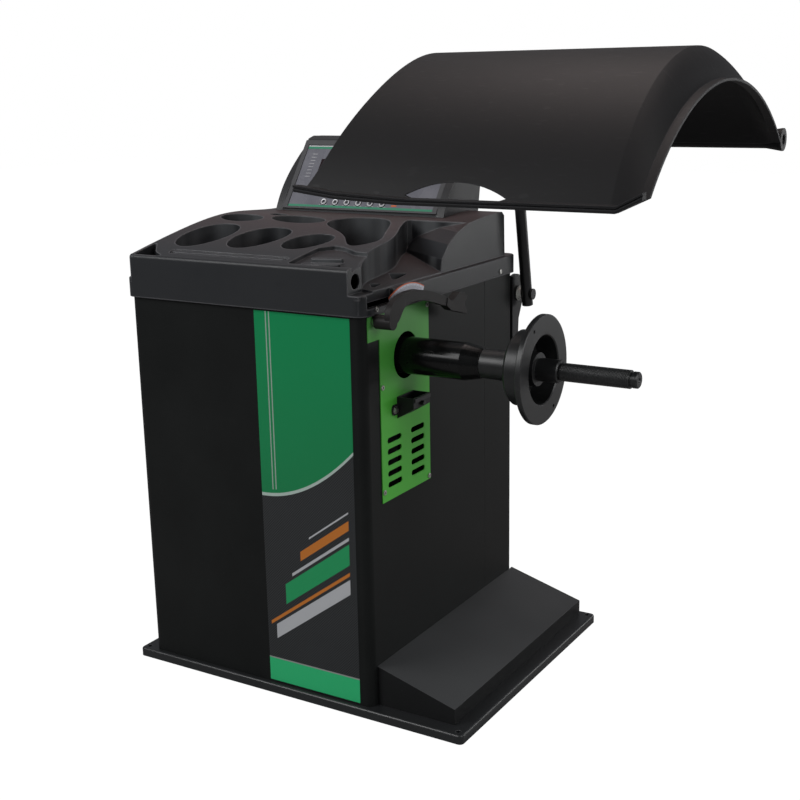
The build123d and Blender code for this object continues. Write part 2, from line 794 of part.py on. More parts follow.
def belt_band(grow, x0, x1):
    """The area inside an open belt round both pulleys, grown outwards, drawn out along X."""
    big = driven_pulley_radius + grow
    small = motor_pulley_radius + grow
    reach = math.hypot(motor_offset_back, motor_offset_down)
    along = math.atan2(-motor_offset_down, motor_offset_back)
    lean = math.acos((big - small) / reach)
    corners = []
    for radius, y, z, turns in ((big, spindle_y, spindle_z, (1, -1)), (small, motor_y, motor_z, (-1, 1))):
        for turn in turns:
            angle = along + turn * lean
            corners.append((y + radius * math.cos(angle), z + radius * math.sin(angle)))
    band = prism_x(corners, x0, x1)
    band += rod_x(x0, x1, spindle_y, spindle_z, big)
    band += rod_x(x0, x1, motor_y, motor_z, small)
    return band


def drive_belt():
    """The flat-backed belt."""
    x0 = pulley_x + 2.5
    x1 = pulley_x + pulley_width - 2.5
    outer = belt_band(belt_clearance + belt_thickness, x0, x1)
    return outer - belt_band(belt_clearance, x0 - 1, x1 + 1)


# ---------------------------------------------------------------- electronics
def power_board():
    """The power board on the cabinet's left wall, with its transformer and heat sink."""
    x0 = left + cabinet_sheet
    y0 = front + 180
    z0 = floor + 300
    board = block(x0 + 12, x0 + 13.6, y0, y0 + 180, z0, z0 + 140)
    for dy in (8, 172):
        for dz in (8, 132):
            board += rod_x(x0, x0 + 12, y0 + dy, z0 + dz, 4)
    board += block(x0 + 13.6, x0 + 40, y0 + 15, y0 + 70, z0 + 20, z0 + 70)
    for fin in range(6):
        y = y0 + 95 + fin * 10
        board += block(x0 + 13.6, x0 + 38, y, y + 3, z0 + 75, z0 + 125)
    board += block(x0 + 13.6, x0 + 17, y0 + 92, y0 + 151, z0 + 72, z0 + 128)
    for row in range(3):
        board += rod_x(x0 + 13.6, x0 + 36, y0 + 100 + row * 24, z0 + 40, 9)
    return board


# ---------------------------------------------------------------- weight tray
cover_left = left + cover_left_inset
cover_right = right - cover_right_inset
cover_front = front - skirt_proud
cover_back = back - cover_back_inset
bend_x = right - 131          # the deck runs level in X to the right of this line


def deck_section(x, rise, inset=0.0, drop=0.0):
    """One (y, z) section of the tray's body; rise lifts the middle of the deck.

    inset moves the front and back walls inwards and drop lowers the deck, for the hollow below it.
    """
    z = floor - drop
    y0 = cover_front + inset
    y1 = cover_back - inset
    depth = y1 - y0
    low = floor + skirt_top - 8 - 3 * drop
    soft = deck_edge_round
    nose = ThreePointArc((x, y0, z + cover_front_edge - soft),
                         (x, y0 + soft * 0.25, z + cover_front_edge - soft * 0.3),
                         (x, y0 + soft, z + cover_front_edge))
    end = (x, y1 - 14, z + deck_back_height)
    humps = [(x, y0 + depth * share, z + height + rise * part) for share, height, part in deck_crest]
    crest = Spline(nose @ 1, *humps, end)
    tail = Polyline(end, (x, y1 - 3, z + deck_back_height - deck_back_round), (x, y1, low), (x, y0, low),
                    nose @ 0)
    return make_face(Wire([*nose.edges(), *crest.edges(), *tail.edges()]))


def tray_body(inset=0.0, drop=0.0):
    """The tray's upper body: the deck falls gently to the right, then runs on level."""
    x0 = cover_left + inset
    x1 = cover_right - inset
    wide = loft([deck_section(x0, deck_rise_left, inset, drop),
                 deck_section(bend_x, deck_rise_right, inset, drop)], ruled=True)
    level = extrude(deck_section(bend_x, deck_rise_right, inset, drop), amount=x1 - bend_x, dir=(1, 0, 0))
    return wide + level


def trough(grow=0.0):
    """The open trough at the right, between the wing and the hump behind it."""
    top = floor + tray_clear
    z0 = floor + skirt_top - 12
    y0 = front + wing_depth - grow
    y1 = front + trough_back + grow
    wall = Spline((right - wing_inset - grow, y0), (right - 50 - grow, front + 90),
                  (right - 64 - grow, front + 150), (right - 78 - grow, front + 224),
                  (right - 104 - grow, front + 300), (right - 134 - grow, front + 365),
                  (right - trough_reach - grow, y1 - 8))
    rest = Polyline((right - trough_reach - grow, y1 - 8), (right - trough_reach + 8, y1), (right + 60, y1),
                    (right + 60, y0), (right - wing_inset - grow, y0))
    plan = make_face(Wire([*wall.edges(), *rest.edges()]))
    walls = extrude(Pos(0, 0, z0) * plan, amount=top - z0, dir=(0, 0, 1))
    slope = [(front + 20, z0), (front + 313 + grow, z0), (front + 313 + grow, floor + trough_floor),
             (front + 320 + grow, floor + 908), (front + 349 + grow, floor + 936),
             (front + 390 + grow, floor + 958), (front + 448 + grow, floor + 974),
             (front + 448 + grow, top), (front + 20, top)]
    swept = extrude(side_face(slope, right + 60), amount=330, dir=(-1, hump_skew, 0))
    swept = Pos(0, -hump_skew * 60, 0) * swept
    rise = trough_reach * math.tan(math.radians(trough_fall))
    bed = prism_y([(right + 60, floor + trough_floor - grow), (right, floor + trough_floor - grow),
                   (right - trough_reach - 20, floor + trough_floor - grow + rise),
                   (right - trough_reach - 20, top), (right + 60, top)], front - 20, back)
    return walls & swept & bed


def rounded(points, radius, grow=0.0):
    """A flat polygon with rounded corners, grown outwards."""
    plan = fillet(make_face(Polyline(*points, close=True)).vertices(), radius)
    return offset(plan, amount=grow) if grow else plan


def smooth(points, grow=0.0):
    """A flat closed curve through the points, grown outwards from its middle."""
    mid_x = sum(x for x, _ in points) / len(points)
    mid_y = sum(y for _, y in points) / len(points)
    grown = []
    for x, y in points:
        share = 1 + grow / math.hypot(x - mid_x, y - mid_y)
        grown.append((mid_x + (x - mid_x) * share, mid_y + (y - mid_y) * share))
    return make_face(Wire(Spline(*grown, periodic=True).edges()))


def pocket_plans(grow=0.0):
    """Each pocket's plan face, grown outwards, and the height of its floor."""
    plans = []
    for dx, dy, rx, ry, bottom in pocket_rounds:
        plans.append((Pos(left + dx, front + dy) * Ellipse(rx + grow, ry + grow), floor + bottom))
    bay = [(right + dx, front + dy) for dx, dy in bay_outline]
    plans.append((smooth(bay, grow), floor + bay_floor))
    x0 = cover_left + corner_rim
    y0 = cover_front + corner_rim
    past = 3 * grow                # below the recess the hollow stops short of both outer walls
    corner = [(x0 - past, y0 - past), (x0 + corner_length + grow, y0 - past),
              (x0 + corner_length * 0.5 + grow, y0 + corner_depth * 0.32 + grow),
              (x0 - past, y0 + corner_depth + grow)]
    plans.append((rounded(corner, 5), floor + corner_floor))
    for corners in trough_notches:
        notch = [(right + dx, front + dy) for dx, dy in corners]
        plans.append((rounded(notch, 4, grow), floor + notch_floor))
    return plans


def low_corner():
    """The low part of the deck beside the wing, without the two bars that stand in it."""
    plan = rounded([(right - 182, front + 8), (right - 182, front + 120), (right - 160, front + 146),
                    (right - 134, front + 142), (right - 86, front + 112), (right - 30, front + 106),
                    (right + 40, front + 106), (right + 40, front + 8)], 8)
    for x0, x1, y in ((150, 64, 18), (150, 78, 52)):
        bar = Pos(right - (x0 + x1) / 2, front + y) * Rot(0, 0, 8) * SlotOverall(x0 - x1, 9)
        plan -= bar
    return plan


def rail_groove():
    """The long shallow groove behind the front edge, round a raised bar, sloping with the deck."""
    x0 = left + 96
    x1 = right - 196
    slope = math.radians(rail_slope)
    place = Plane(origin=((x0 + x1) / 2, front + rail_back, floor + rail_height), x_dir=(1, 0, 0),
                  z_dir=(0, -math.sin(slope), math.cos(slope)))
    ring = SlotOverall(x1 - x0, 24) - SlotOverall(x1 - x0 - 14, 9)
    return extrude(place * Pos(0, 0, -rail_depth) * ring, amount=20)


def wing_notch(grow=0.0):
    """The space beside the wing's outer face, over the skirt."""
    return block(right - wing_inset - grow, right + 60, cover_front - 20, front + wing_depth + grow,
                 floor + skirt_top - grow, floor + tray_clear)


def column(plan, z0):
    """A tall column over a plan face, from z0 to above the tray."""
    return extrude(Pos(0, 0, z0) * plan, amount=floor + tray_clear - z0, dir=(0, 0, 1))


def weight_tray():
    """The one-piece moulded top: skirt, deck with pockets, wing, trough and rear hump."""
    z0 = floor + skirt_bottom
    z1 = floor + skirt_top
    proud = skirt_proud
    skirt = block(left - proud, right + proud, front - proud, back + proud, z0, z1)
    skirt = fillet(skirt.edges().filter_by(Axis.Z), cabinet_corner_radius + proud)
    skirt = fillet(skirt.faces().sort_by(Axis.Z)[-1].edges(), 3)
    gap = skirt_proud - skirt_wall
    under = block(left - gap, right + gap, front - gap, back + gap, z0 - 1, floor + cabinet_height + gap)
    under = fillet(under.edges().filter_by(Axis.Z), cabinet_corner_radius + gap)
    ledge = seat_width
    inner = block(left + ledge, right - ledge, front + ledge, back - ledge, z0 - 1, z1 - cover_wall)
    body = tray_body()
    shell = skirt + body - trough() - wing_notch()
    hollow = tray_body(cover_wall, deck_thickness) + inner - trough(cover_wall) - wing_notch(cover_wall)
    for plan, bottom in pocket_plans(cover_wall):
        hollow -= column(plan, bottom - cover_wall)
    for plan, bottom in pocket_plans():
        shell -= column(plan, bottom)
    shell -= column(low_corner(), floor + 850) - Pos(0, 0, -deck_step) * body
    shell -= rail_groove()
    shell -= under
    shell -= hollow
    hole_y = front + wing_hole_back
    return shell - rod_x(right - wing_inset - 12, right - wing_inset + 12, hole_y, floor + wing_hole_height,
                         wing_hole_radius)


def tray_screws():
    """Screws through the tray's skirt into the cabinet, two on each side."""
    z = floor + (skirt_bottom + cabinet_height) / 2 + 3
    heads = []
    for y in (front + 38, front + 575):
        heads += screws_x([(y, z)], right + skirt_proud)
        head = rod_x(left - skirt_proud - screw_head_height, left - skirt_proud, y, z, screw_head_radius)
        heads.append(fillet(head.edges().sort_by(Axis.X)[0], screw_head_height * 0.45))
    return heads


# ---------------------------------------------------------------- display console
display_x1 = right - display_right_inset
display_x0 = display_x1 - display_width
display_y = front + display_front
display_z = floor + display_bottom
tilt = math.radians(screen_tilt)
lean = (0, math.sin(tilt), math.cos(tilt))           # up the sloping face
outward = (0, -math.cos(tilt), math.sin(tilt))       # out of the sloping face


def on_screen(x, up, out=0.0):
    """A point on the sloping face: up along it and out of it."""
    return (x, display_y + up * lean[1] + out * outward[1], display_z + up * lean[2] + out * outward[2])


def screen_slab(x0, x1, up0, up1, out0, out1):
    """A box lying on the sloping face."""
    corners = [on_screen(x0, up0, out0), on_screen(x0, up1, out0), on_screen(x0, up1, out1),
               on_screen(x0, up0, out1)]
    return prism_x([(y, z) for _, y, z in corners], x0, x1)


def screen_disc(x, up, out0, out1, radius):
    """A round disc standing on the sloping face."""
    place = Plane(origin=on_screen(x, up, out0), x_dir=(1, 0, 0), z_dir=outward)
    return extrude(place * Circle(radius), amount=out1 - out0)


def key_places():
    """The keys' centres: distance along X and up the sloping face."""
    return [(display_x0 + first_key_from_left + step * key_pitch, key_up_slope) for step in range(key_count)]


def display_housing():
    """The moulded console: a sloping screen block between two arched cheeks, seated on the deck."""
    top = on_screen(0, screen_length)
    crown = (display_y + display_depth + 40, display_z + 172)
    rear = display_y + display_depth
    rear_edge = (rear + 24, display_z + 110)
    block_side = [(display_y, display_z - 20), (display_y, display_z), top[1:], (top[1] + 22, top[2] + 6),
                  crown, rear_edge, (rear, display_z - 20)]
    middle = prism_x(block_side, display_x0 + cheek_width, display_x1 - cheek_width)
    lip = (display_x0, display_y - 3, display_z - 6)
    arch = Spline(lip, (display_x0, display_y + 34, display_z + 58),
                  (display_x0, display_y + 97, display_z + 120),
                  (display_x0, display_y + 170, display_z + 165), (display_x0, *crown))
    spine = Polyline((display_x0, *crown), (display_x0, *rear_edge), (display_x0, rear, display_z - 20),
                     (display_x0, display_y - 3, display_z - 20), lip)
    cheek = extrude(make_face(Wire([*arch.edges(), *spine.edges()])), amount=cheek_width, dir=(1, 0, 0))
    console = middle + cheek + Pos(display_width - cheek_width, 0, 0) * cheek
    return console - Pos(0, 0, seat_gap) * tray_body()


def display_bezel():
    """The flat frame round the display panel, on the sloping face."""
    x0 = display_x0 + cheek_width
    x1 = display_x1 - cheek_width
    frame = screen_slab(x0, x1, panel_low - bezel_lip, screen_length - 8, 0, bezel_thickness)
    return frame - screen_slab(x0 + bezel_margin, x1 - bezel_margin, panel_low, panel_high,
                               -1, bezel_thickness + 1)


def display_panel():
    """The membrane panel inside the bezel, with a hole round each key."""
    gap = 0.2
    x0 = display_x0 + cheek_width + bezel_margin + gap
    x1 = display_x1 - cheek_width - bezel_margin - gap
    panel = screen_slab(x0, x1, panel_low + gap, panel_high - gap, 0, bezel_thickness - 2)
    for x, up in key_places():
        panel -= screen_disc(x, up, -1, bezel_thickness, key_radius + 0.4)
    return panel


def display_key(x, up):
    """One round key in its hole."""
    return screen_disc(x, up, key_travel + 0.4, bezel_thickness - 0.6, key_radius)


# ---------------------------------------------------------------- rim gauge
gauge_y = front + gauge_depth
gauge_z = floor + gauge_height
sleeve_start = right - cabinet_sheet - gauge_guide_length - 1.5 * gauge_collar


def gauge_guide():
    """Two bearing blocks on one rail, fixed to the inside of the cabinet's right wall."""
    x1 = right - cabinet_sheet
    x0 = x1 - gauge_guide_length
    half = gauge_sleeve_radius + 9
    guide = block(x1 - 30, x1, gauge_y - half + 6, gauge_y + half, gauge_z - half, gauge_z + half)
    guide += block(x0, x0 + 20, gauge_y - half + 6, gauge_y + half, gauge_z - half, gauge_z + half)
    guide += block(x0, x1, gauge_y - 8, gauge_y + 10, gauge_z - half - 6, gauge_z - half + 1)
    return guide - rod_x(x0 - 1, x1 + 1, gauge_y, gauge_z, gauge_sleeve_radius + running_clearance)


def gauge_sleeve():
    """The turning sleeve that the gauge rod slides in."""
    x0 = sleeve_start
    x1 = right + gauge_hub_start - 1
    sleeve = rod_x(x0, x1, gauge_y, gauge_z, gauge_sleeve_radius)
    sleeve += rod_x(x0, x0 + gauge_collar, gauge_y, gauge_z, gauge_sleeve_radius + 5)
    return sleeve - rod_x(x0 - 1, x1 + 1, gauge_y, gauge_z, gauge_rod_radius + running_clearance)


def gauge_rod():
    """The sliding rod, with a stop collar that nears the sleeve at full stroke."""
    x1 = right + gauge_hub_end - 2
    x0 = sleeve_start - gauge_stroke - 1.5 * gauge_collar
    collar = rod_x(x0, x0 + gauge_collar, gauge_y, gauge_z, gauge_rod_radius + 4)
    return rod_x(x0, x1, gauge_y, gauge_z, gauge_rod_radius) + collar


def gauge_arm():
    """The crescent arm on its clamp hub, curved to clear the spindle."""
    x1 = right + gauge_hub_end
    x0 = x1 - gauge_arm_thickness
    crest = Spline(*[(x0, gauge_y + dy, gauge_z + dz) for dy, dz in gauge_arm_crest])
    belly = Spline(*[(x0, gauge_y + dy, gauge_z + dz) for dy, dz in gauge_arm_belly])
    tip = Line(crest @ 1, belly @ 0)
    root = Line(belly @ 1, crest @ 0)
    blade = make_face(Wire([*crest.edges(), *tip.edges(), *belly.edges(), *root.edges()]))
    arm = extrude(blade, amount=gauge_arm_thickness, dir=(1, 0, 0))
    arm += rod_x(right + gauge_hub_start, x1, gauge_y, gauge_z, gauge_hub_radius)
    return arm - rod_x(right, x1 - 2, gauge_y, gauge_z, gauge_rod_radius)


def gauge_claw():
    """The forked plastic tip that feels the wheel's rim."""
    x1 = right + gauge_hub_end + 2
    x0 = x1 - gauge_arm_thickness - 4
    return prism_x([(gauge_y + dy, gauge_z + dz) for dy, dz in gauge_claw_outline], x0, x1)


def gauge_scale():
    """The curved scale plate on the tray's skirt, concentric with the spindle."""
    x0 = right + skirt_proud
    ring = rod_x(x0, x0 + 1.2, spindle_y, spindle_z, scale_radius)
    ring -= rod_x(x0 - 1, x0 + 3, spindle_y, spindle_z, scale_radius - scale_band)
    reach = scale_radius * 2
    wedge = [(spindle_y, spindle_z)]
    for angle in (scale_from, (scale_from + scale_to) / 2, scale_to):
        wedge.append((spindle_y + reach * math.cos(math.radians(angle)),
                      spindle_z + reach * math.sin(math.radians(angle))))
    return ring & prism_x(wedge, x0 - 1, x0 + 3)


# ---------------------------------------------------------------- holder on the side panel
def tool_holder():
    """The open-topped moulded holder with its slanted underside."""
    x0 = right + panel_sheet
    x1 = x0 + holder_reach
    y0 = front + holder_front
    y1 = y0 + holder_length
    z1 = floor + holder_top
    side = [(x0, z1 - holder_height), (x1, z1 - holder_outer_height), (x1, z1), (x0, z1)]
    inner = [(x0 + holder_wall, z1 - holder_height + 8), (x1 - holder_wall, z1 - holder_outer_height + 4),
             (x1 - holder_wall, z1 + 1), (x0 + holder_wall, z1 + 1)]
    bin_shell = prism_y(side, y0, y1) - prism_y(inner, y0 + holder_wall, y1 - holder_wall)
    lug = block(x0, x0 + 3, y0 - 22, y0 + 1, z1 - 36, z1 - 14)
    return bin_shell + fillet(lug.edges().filter_by(Axis.X).sort_by(Axis.Y)[:2], 8)


def holder_clip():
    """The light bar along the holder's outer lip and the thumb screw below it."""
    x1 = right + panel_sheet + holder_reach
    y0 = front + holder_front
    z1 = floor + holder_top
    bar = block(x1, x1 + 3, y0 + 2, y0 + holder_length - 2, z1 - 9, z1 - 1)
    screw = rod_x(x1, x1 + 7, y0 + holder_length * 0.5, z1 - 15, 5)
    return bar + screw


def holder_screw():
    """The screw and washer in the holder's lug."""
    x0 = right + panel_sheet + 3
    y = front + holder_front - 12
    z = floor + holder_top - 25
    return rod_x(x0, x0 + 1.5, y, z, 8) + rod_x(x0 + 1.5, x0 + 5, y, z, 5)


# ---------------------------------------------------------------- wheel guard
pivot_y = back + guard_pivot_back
pivot_z = floor + guard_pivot_height
bar_y = pivot_y - guard_bar_forward
bar_z = floor + guard_bar_height
arm_x = right + guard_arm_x
bracket_bolt_x = right - bracket_thickness - bracket_foot_width * 0.58
vault_z = floor + vault_crest - vault_radius
vault_rear_y = bar_y - guard_rear_in
vault_rear_z = bar_z - guard_rear_down
vault_y = vault_rear_y - math.sqrt(vault_radius ** 2 - (vault_rear_z - vault_z) ** 2)
rim_z = floor + guard_rim_bottom
vault_front_y = vault_y - math.sqrt(vault_radius ** 2 - (rim_z - vault_z) ** 2)


def guard_bracket():
    """The bent post bracket behind the cabinet: a foot screwed to the shell and a pierced head."""
    x1 = right
    x0 = x1 - bracket_thickness
    head_y = pivot_y - 8
    head_z = pivot_z + 5
    z_low = floor + bracket_bottom
    web = prism_x([(back, z_low), (back + 20, z_low), (back + 33, pivot_z - 62), (head_y + 42, head_z - 12),
                   (head_y + 42, head_z), (back, head_z + 38)], x0, x1)
    web += rod_x(x0, x1, head_y, head_z, 42)
    web -= block(x0 - 1, x1 + 1, back - 60, back, z_low - 10, head_z + 60)
    foot = block(x0 - bracket_foot_width, x1, back, back + 4, z_low, pivot_z + 10)
    bracket = web + foot
    bracket -= rod_x(x0 - 1, x1 + 1, pivot_y, pivot_z, guard_axle_radius + running_clearance)
    for z in bracket_bolt_heights():
        bracket -= rod_y(bracket_bolt_x, back - 1, back + 5, z, bracket_bolt_radius + bolt_play)
    return bracket


def bracket_bolt_heights():
    """Heights of the foot's three bolts."""
    low = floor + bracket_bottom + 25
    high = pivot_z - 15
    return [low, (low + high) / 2, high]


def bracket_bolts():
    """Hexagon bolts through the foot into the rear shell."""
    bolts = []
    for z in bracket_bolt_heights():
        hexagon = extrude(RegularPolygon(bracket_bolt_radius * 1.9, 6), amount=5.3)
        head = Pos(bracket_bolt_x, back + 4, z) * Rot(-90, 0, 0) * hexagon
        shank = rod_y(bracket_bolt_x, back - 12, back + 5, z, bracket_bolt_radius)
        bolts.append(head + shank)
    return bolts


def guard_path():
    """The tube's centreline: up the arm, round one bend and along the bar."""
    rise_y = bar_y - pivot_y
    rise_z = bar_z - pivot_z
    length = math.hypot(rise_y, rise_z)
    tail = (arm_x, pivot_y - rise_y / length * guard_arm_tail, pivot_z - rise_z / length * guard_arm_tail)
    return FilletPolyline(tail, (arm_x, bar_y, bar_z), (right + guard_bar_end, bar_y, bar_z),
                          radius=guard_bend_radius)


def guard_tube_solid(radius):
    """A round bar of the given radius along the tube's centreline."""
    path = guard_path()
    start = Plane(origin=path @ 0, z_dir=path % 0)
    return sweep(start * Circle(radius), path=path)


def guard_tube():
    """The bent steel tube that carries the guard, cross-drilled for the axle."""
    tube = guard_tube_solid(guard_tube_radius) - guard_tube_solid(guard_tube_radius - guard_tube_wall)
    return tube - rod_x(arm_x - 40, arm_x + 40, pivot_y, pivot_z, guard_axle_radius)


def guard_axle():
    """The pivot bolt: head outside the tube, shank through the bracket, lock nut behind it."""
    x_head = arm_x + guard_tube_radius
    nut_x = right - bracket_thickness - 0.5
    axle = rod_x(nut_x - 9, x_head + 1, pivot_y, pivot_z, guard_axle_radius)
    axle += rod_x(x_head, x_head + 5, pivot_y, pivot_z, guard_axle_radius + 5)
    axle += rod_x(nut_x - 8, nut_x, pivot_y, pivot_z, guard_axle_radius + 5)
    return axle


def pivot_washers():
    """The dark disc and the pale ring between bracket and tube."""
    x0 = right + 0.4
    x1 = arm_x - guard_tube_radius + 1
    stack = rod_x(x0, x0 + 4, pivot_y, pivot_z, 18) + rod_x(x0 + 4, x1, pivot_y, pivot_z, 13)
    stack -= rod_x(x0 - 1, x1 + 1, pivot_y, pivot_z, guard_axle_radius)
    return stack - guard_tube_solid(guard_tube_radius)


def guard_section(x, front_end, crest, rear_end, inset=0.0):
    """One closed (y, z) section of the vault: an arch through three points and its chord."""
    arch = []
    for y, z in (front_end, (vault_y, floor + crest), rear_end):
        reach = math.hypot(y - vault_y, z - vault_z)
        arch.append((x, y + (vault_y - y) * inset / reach, z + (vault_z - z) * inset / reach))
    low = inset * 8
    chord = Polyline(arch[2], (x, arch[2][1], arch[2][2] - low - 1), (x, arch[0][1], arch[0][2] - low - 1),
                     arch[0])
    return make_face(Wire([*ThreePointArc(*arch).edges(), *chord.edges()]))


def guard_vault(inset=0.0):
    """The vault, its bell-shaped right shoulder and the lip round the arch, solid down to the chord."""
    shoulder = right + guard_shoulder
    lip = right + guard_right - rim_flange
    front_end = (vault_front_y, rim_z)
    rear_end = (vault_rear_y, vault_rear_z)
    wide = guard_section(shoulder, front_end, vault_crest, rear_end, inset)
    middle = guard_section(shoulder + (lip - shoulder) * 0.55, (front_end[0] + 4, front_end[1] + 4),
                           vault_crest - shoulder_dip, rear_end, inset)
    narrow = guard_section(lip, (front_end[0] + 14, front_end[1] + 15), vault_crest - shoulder_drop,
                           (rear_end[0] - 5, rear_end[1] + 3), inset)
    straight = extrude(wide, amount=shoulder - right - guard_left_front + 10, dir=(-1, 0, 0))
    return straight + loft([wide, middle, narrow]) + extrude(narrow, amount=rim_flange, dir=(1, 0, 0))


def guard_left_cut():
    """Everything left of the guard's curved left end."""
    x = right
    y = vault_front_y
    y_end = bar_y + 80
    edge = Spline((x + guard_left_front, y - 25), (x + guard_left_front, y - 3), (x - 6, y + 18),
                  (x + 17, y + 60), (x + 41, y + 147), (x + guard_left, y + 286), (x + guard_left, y_end))
    rest = Polyline((x + guard_left, y_end), (x - 200, y_end), (x - 200, y - 25),
                    (x + guard_left_front, y - 25))
    plan = make_face(Wire([*edge.edges(), *rest.edges()]))
    return extrude(Pos(0, 0, rim_z - 80) * plan, amount=vault_crest - guard_rim_bottom + 160, dir=(0, 0, 1))


def rim_line(lift):
    """The (x, z) line of the guard's front lower edge, raised by lift."""
    z = rim_z + lift
    return [(right + guard_left_front, z + 16), (right + 60, z + 6), (right + 190, z),
            (right + guard_shoulder + 14, z), (right + guard_right, z + 22)]


def guard_shell():
    """The moulded hood: vault, shoulder, stiff front rim, hand hole and tube socket."""
    shell = guard_vault() - guard_vault(guard_wall)
    band = rim_line(0) + rim_line(rim_band)[::-1]
    y0 = vault_front_y - rim_reach
    shell += prism_y(band, y0, vault_front_y + 5)
    groove = rim_line(rim_band * 0.45) + rim_line(rim_band * 0.45 + rim_bead)[::-1]
    shell -= prism_y(groove, y0 - 5, y0 + rim_bead)
    below = rim_line(0) + [(right + guard_right + 20, rim_z - 80), (right - 120, rim_z - 80)]
    shell -= prism_y(below, y0 - 10, y0 + 90)
    x1 = right + guard_right
    radius = guard_tube_radius + socket_wall
    shell += turned_x([(right + socket_start, 0), (right + socket_start, radius),
                       (x1 - socket_flare_length, radius), (x1 - 4, radius + socket_flare),
                       (x1, radius + socket_flare), (x1, 0)], bar_y, bar_z)
    shell -= guard_left_cut()
    shell -= guard_tube_solid(guard_tube_radius + 0.3)
    shell -= rod_x(right + guard_bar_end - 5, right + guard_right + 5, bar_y, bar_z,
                   guard_tube_radius - guard_tube_wall)
    spot_y = bar_y + guard_tube_radius + socket_wall
    for x in guard_screw_places():
        shell -= rod_y(x, spot_y - spot_depth, spot_y + 5, bar_z, screw_head_radius + running_clearance)
    z = rim_z + rim_band
    middle = right + (handle_left + handle_right) / 2
    arch = ThreePointArc((right + handle_left, y0 - 5, z + 3), (middle, y0 - 5, z + handle_rise),
                         (right + handle_right, y0 - 5, z + 3))
    sill = Polyline((right + handle_right, y0 - 5, z + 3), (right + handle_right - 12, y0 - 5, z - 1),
                    (right + handle_left + 12, y0 - 5, z - 1), (right + handle_left, y0 - 5, z + 3))
    hand_hole = extrude(make_face(Wire([*arch.edges(), *sill.edges()])), amount=70, dir=(0, 1, 0))
    return shell - hand_hole


def guard_screw_places():
    """Where along X the socket's three screws stand."""
    return [right + socket_start + share * (guard_right - socket_start) for share in (0.08, 0.5, 0.9)]


def guard_screws():
    """Screws through the socket into the tube, along the guard's back edge."""
    heads = []
    y0 = bar_y + guard_tube_radius + socket_wall - spot_depth
    for x in guard_screw_places():
        head = rod_y(x, y0, y0 + screw_head_height, bar_z, screw_head_radius)
        heads.append(fillet(head.edges().sort_by(Axis.Y)[-1], screw_head_height * 0.45))
    return heads


if __name__ == "__main__":
    os.makedirs("parts", exist_ok=True)
    save("base_tray", base_tray())
    shells = cabinet_shells()
    save("front_shell", shells[0])
    save("rear_shell", shells[1])
    save("foot_box", foot_box())
    save("side_panel", side_panel())
    save("side_panel_screws", *screws_x(panel_screw_places(), right + panel_sheet))
    save("mains_inlet", mains_inlet())
    save("switch_frame", switch_frame())
    save("switch_rocker", rocker())
    save("rear_cover", rear_cover())
    save("rear_cover_screws", *rear_cover_screws())
    save("spindle_post", spindle_post())
    save("spring_plates", *flexures())
    save("force_sensors", *force_sensors())
    save("spindle_housing", spindle_housing())
    save("rear_bearing", ball_bearing(housing_start))
    save("front_bearing", ball_bearing(right + housing_reach - bearing_width - 20))
    save("spindle_shaft", spindle_shaft())
    save("wheel_flange", wheel_flange())
    save("driven_pulley", driven_pulley())
    save("encoder_disc", encoder_disc())
    save("encoder_reader", encoder_reader())
    save("drive_motor", drive_motor())
    save("motor_bracket", motor_bracket())
    save("motor_rotor", motor_rotor())
    save("drive_belt", drive_belt())
    save("power_board", power_board())
    save("weight_tray", weight_tray())
    save("tray_screws", *tray_screws())
    save("display_housing", display_housing())
    save("display_bezel", display_bezel())
    save("display_panel", display_panel())
    for number, place in enumerate(key_places(), start=1):
        save(f"display_key_{number}", display_key(*place))
    save("gauge_guide", gauge_guide())
    save("gauge_sleeve", gauge_sleeve())
    save("gauge_rod", gauge_rod())
    save("gauge_arm", gauge_arm())
    save("gauge_claw", gauge_claw())
    save("gauge_scale", gauge_scale())
    save("tool_holder", tool_holder())
    save("holder_clip", holder_clip())
    save("holder_screw", holder_screw())
    save("guard_bracket", guard_bracket())
    save("bracket_bolts", *bracket_bolts())
    save("guard_tube", guard_tube())
    save("guard_axle", guard_axle())
    save("pivot_washers", pivot_washers())
    save("guard_shell", guard_shell())
    save("guard_screws", *guard_screws())
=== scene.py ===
"""Looks of the wheel balancer: finishes, printed faces, thread, display graphics, studio and camera."""
import json
import math

import bmesh
import bpy
from mathutils import Matrix, Vector


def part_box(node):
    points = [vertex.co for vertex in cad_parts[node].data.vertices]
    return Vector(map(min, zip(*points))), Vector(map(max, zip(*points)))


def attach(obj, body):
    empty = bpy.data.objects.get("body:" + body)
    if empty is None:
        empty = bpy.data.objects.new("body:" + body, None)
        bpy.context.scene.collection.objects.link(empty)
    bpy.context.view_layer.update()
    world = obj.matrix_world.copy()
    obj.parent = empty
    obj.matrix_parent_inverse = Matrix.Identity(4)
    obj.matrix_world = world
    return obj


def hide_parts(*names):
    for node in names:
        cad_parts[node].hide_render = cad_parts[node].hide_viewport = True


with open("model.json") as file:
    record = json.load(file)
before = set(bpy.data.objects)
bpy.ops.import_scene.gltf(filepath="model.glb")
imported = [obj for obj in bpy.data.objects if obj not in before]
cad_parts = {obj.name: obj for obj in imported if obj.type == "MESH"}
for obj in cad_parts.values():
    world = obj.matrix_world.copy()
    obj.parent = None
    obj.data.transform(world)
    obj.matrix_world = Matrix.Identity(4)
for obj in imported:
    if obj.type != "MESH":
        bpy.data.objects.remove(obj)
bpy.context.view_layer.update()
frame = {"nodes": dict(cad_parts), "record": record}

MM = 0.001
shell_lo, shell_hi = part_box("front_shell")
LEFT, RIGHT = shell_lo.x, shell_hi.x          # cabinet's side faces
FRONT, FLOOR = shell_lo.y, shell_lo.z         # cabinet's front face, top of the floor tray
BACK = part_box("rear_shell")[1].y
joint = {item["name"]: item for item in frame["record"]["behaviour"]["joints"]}
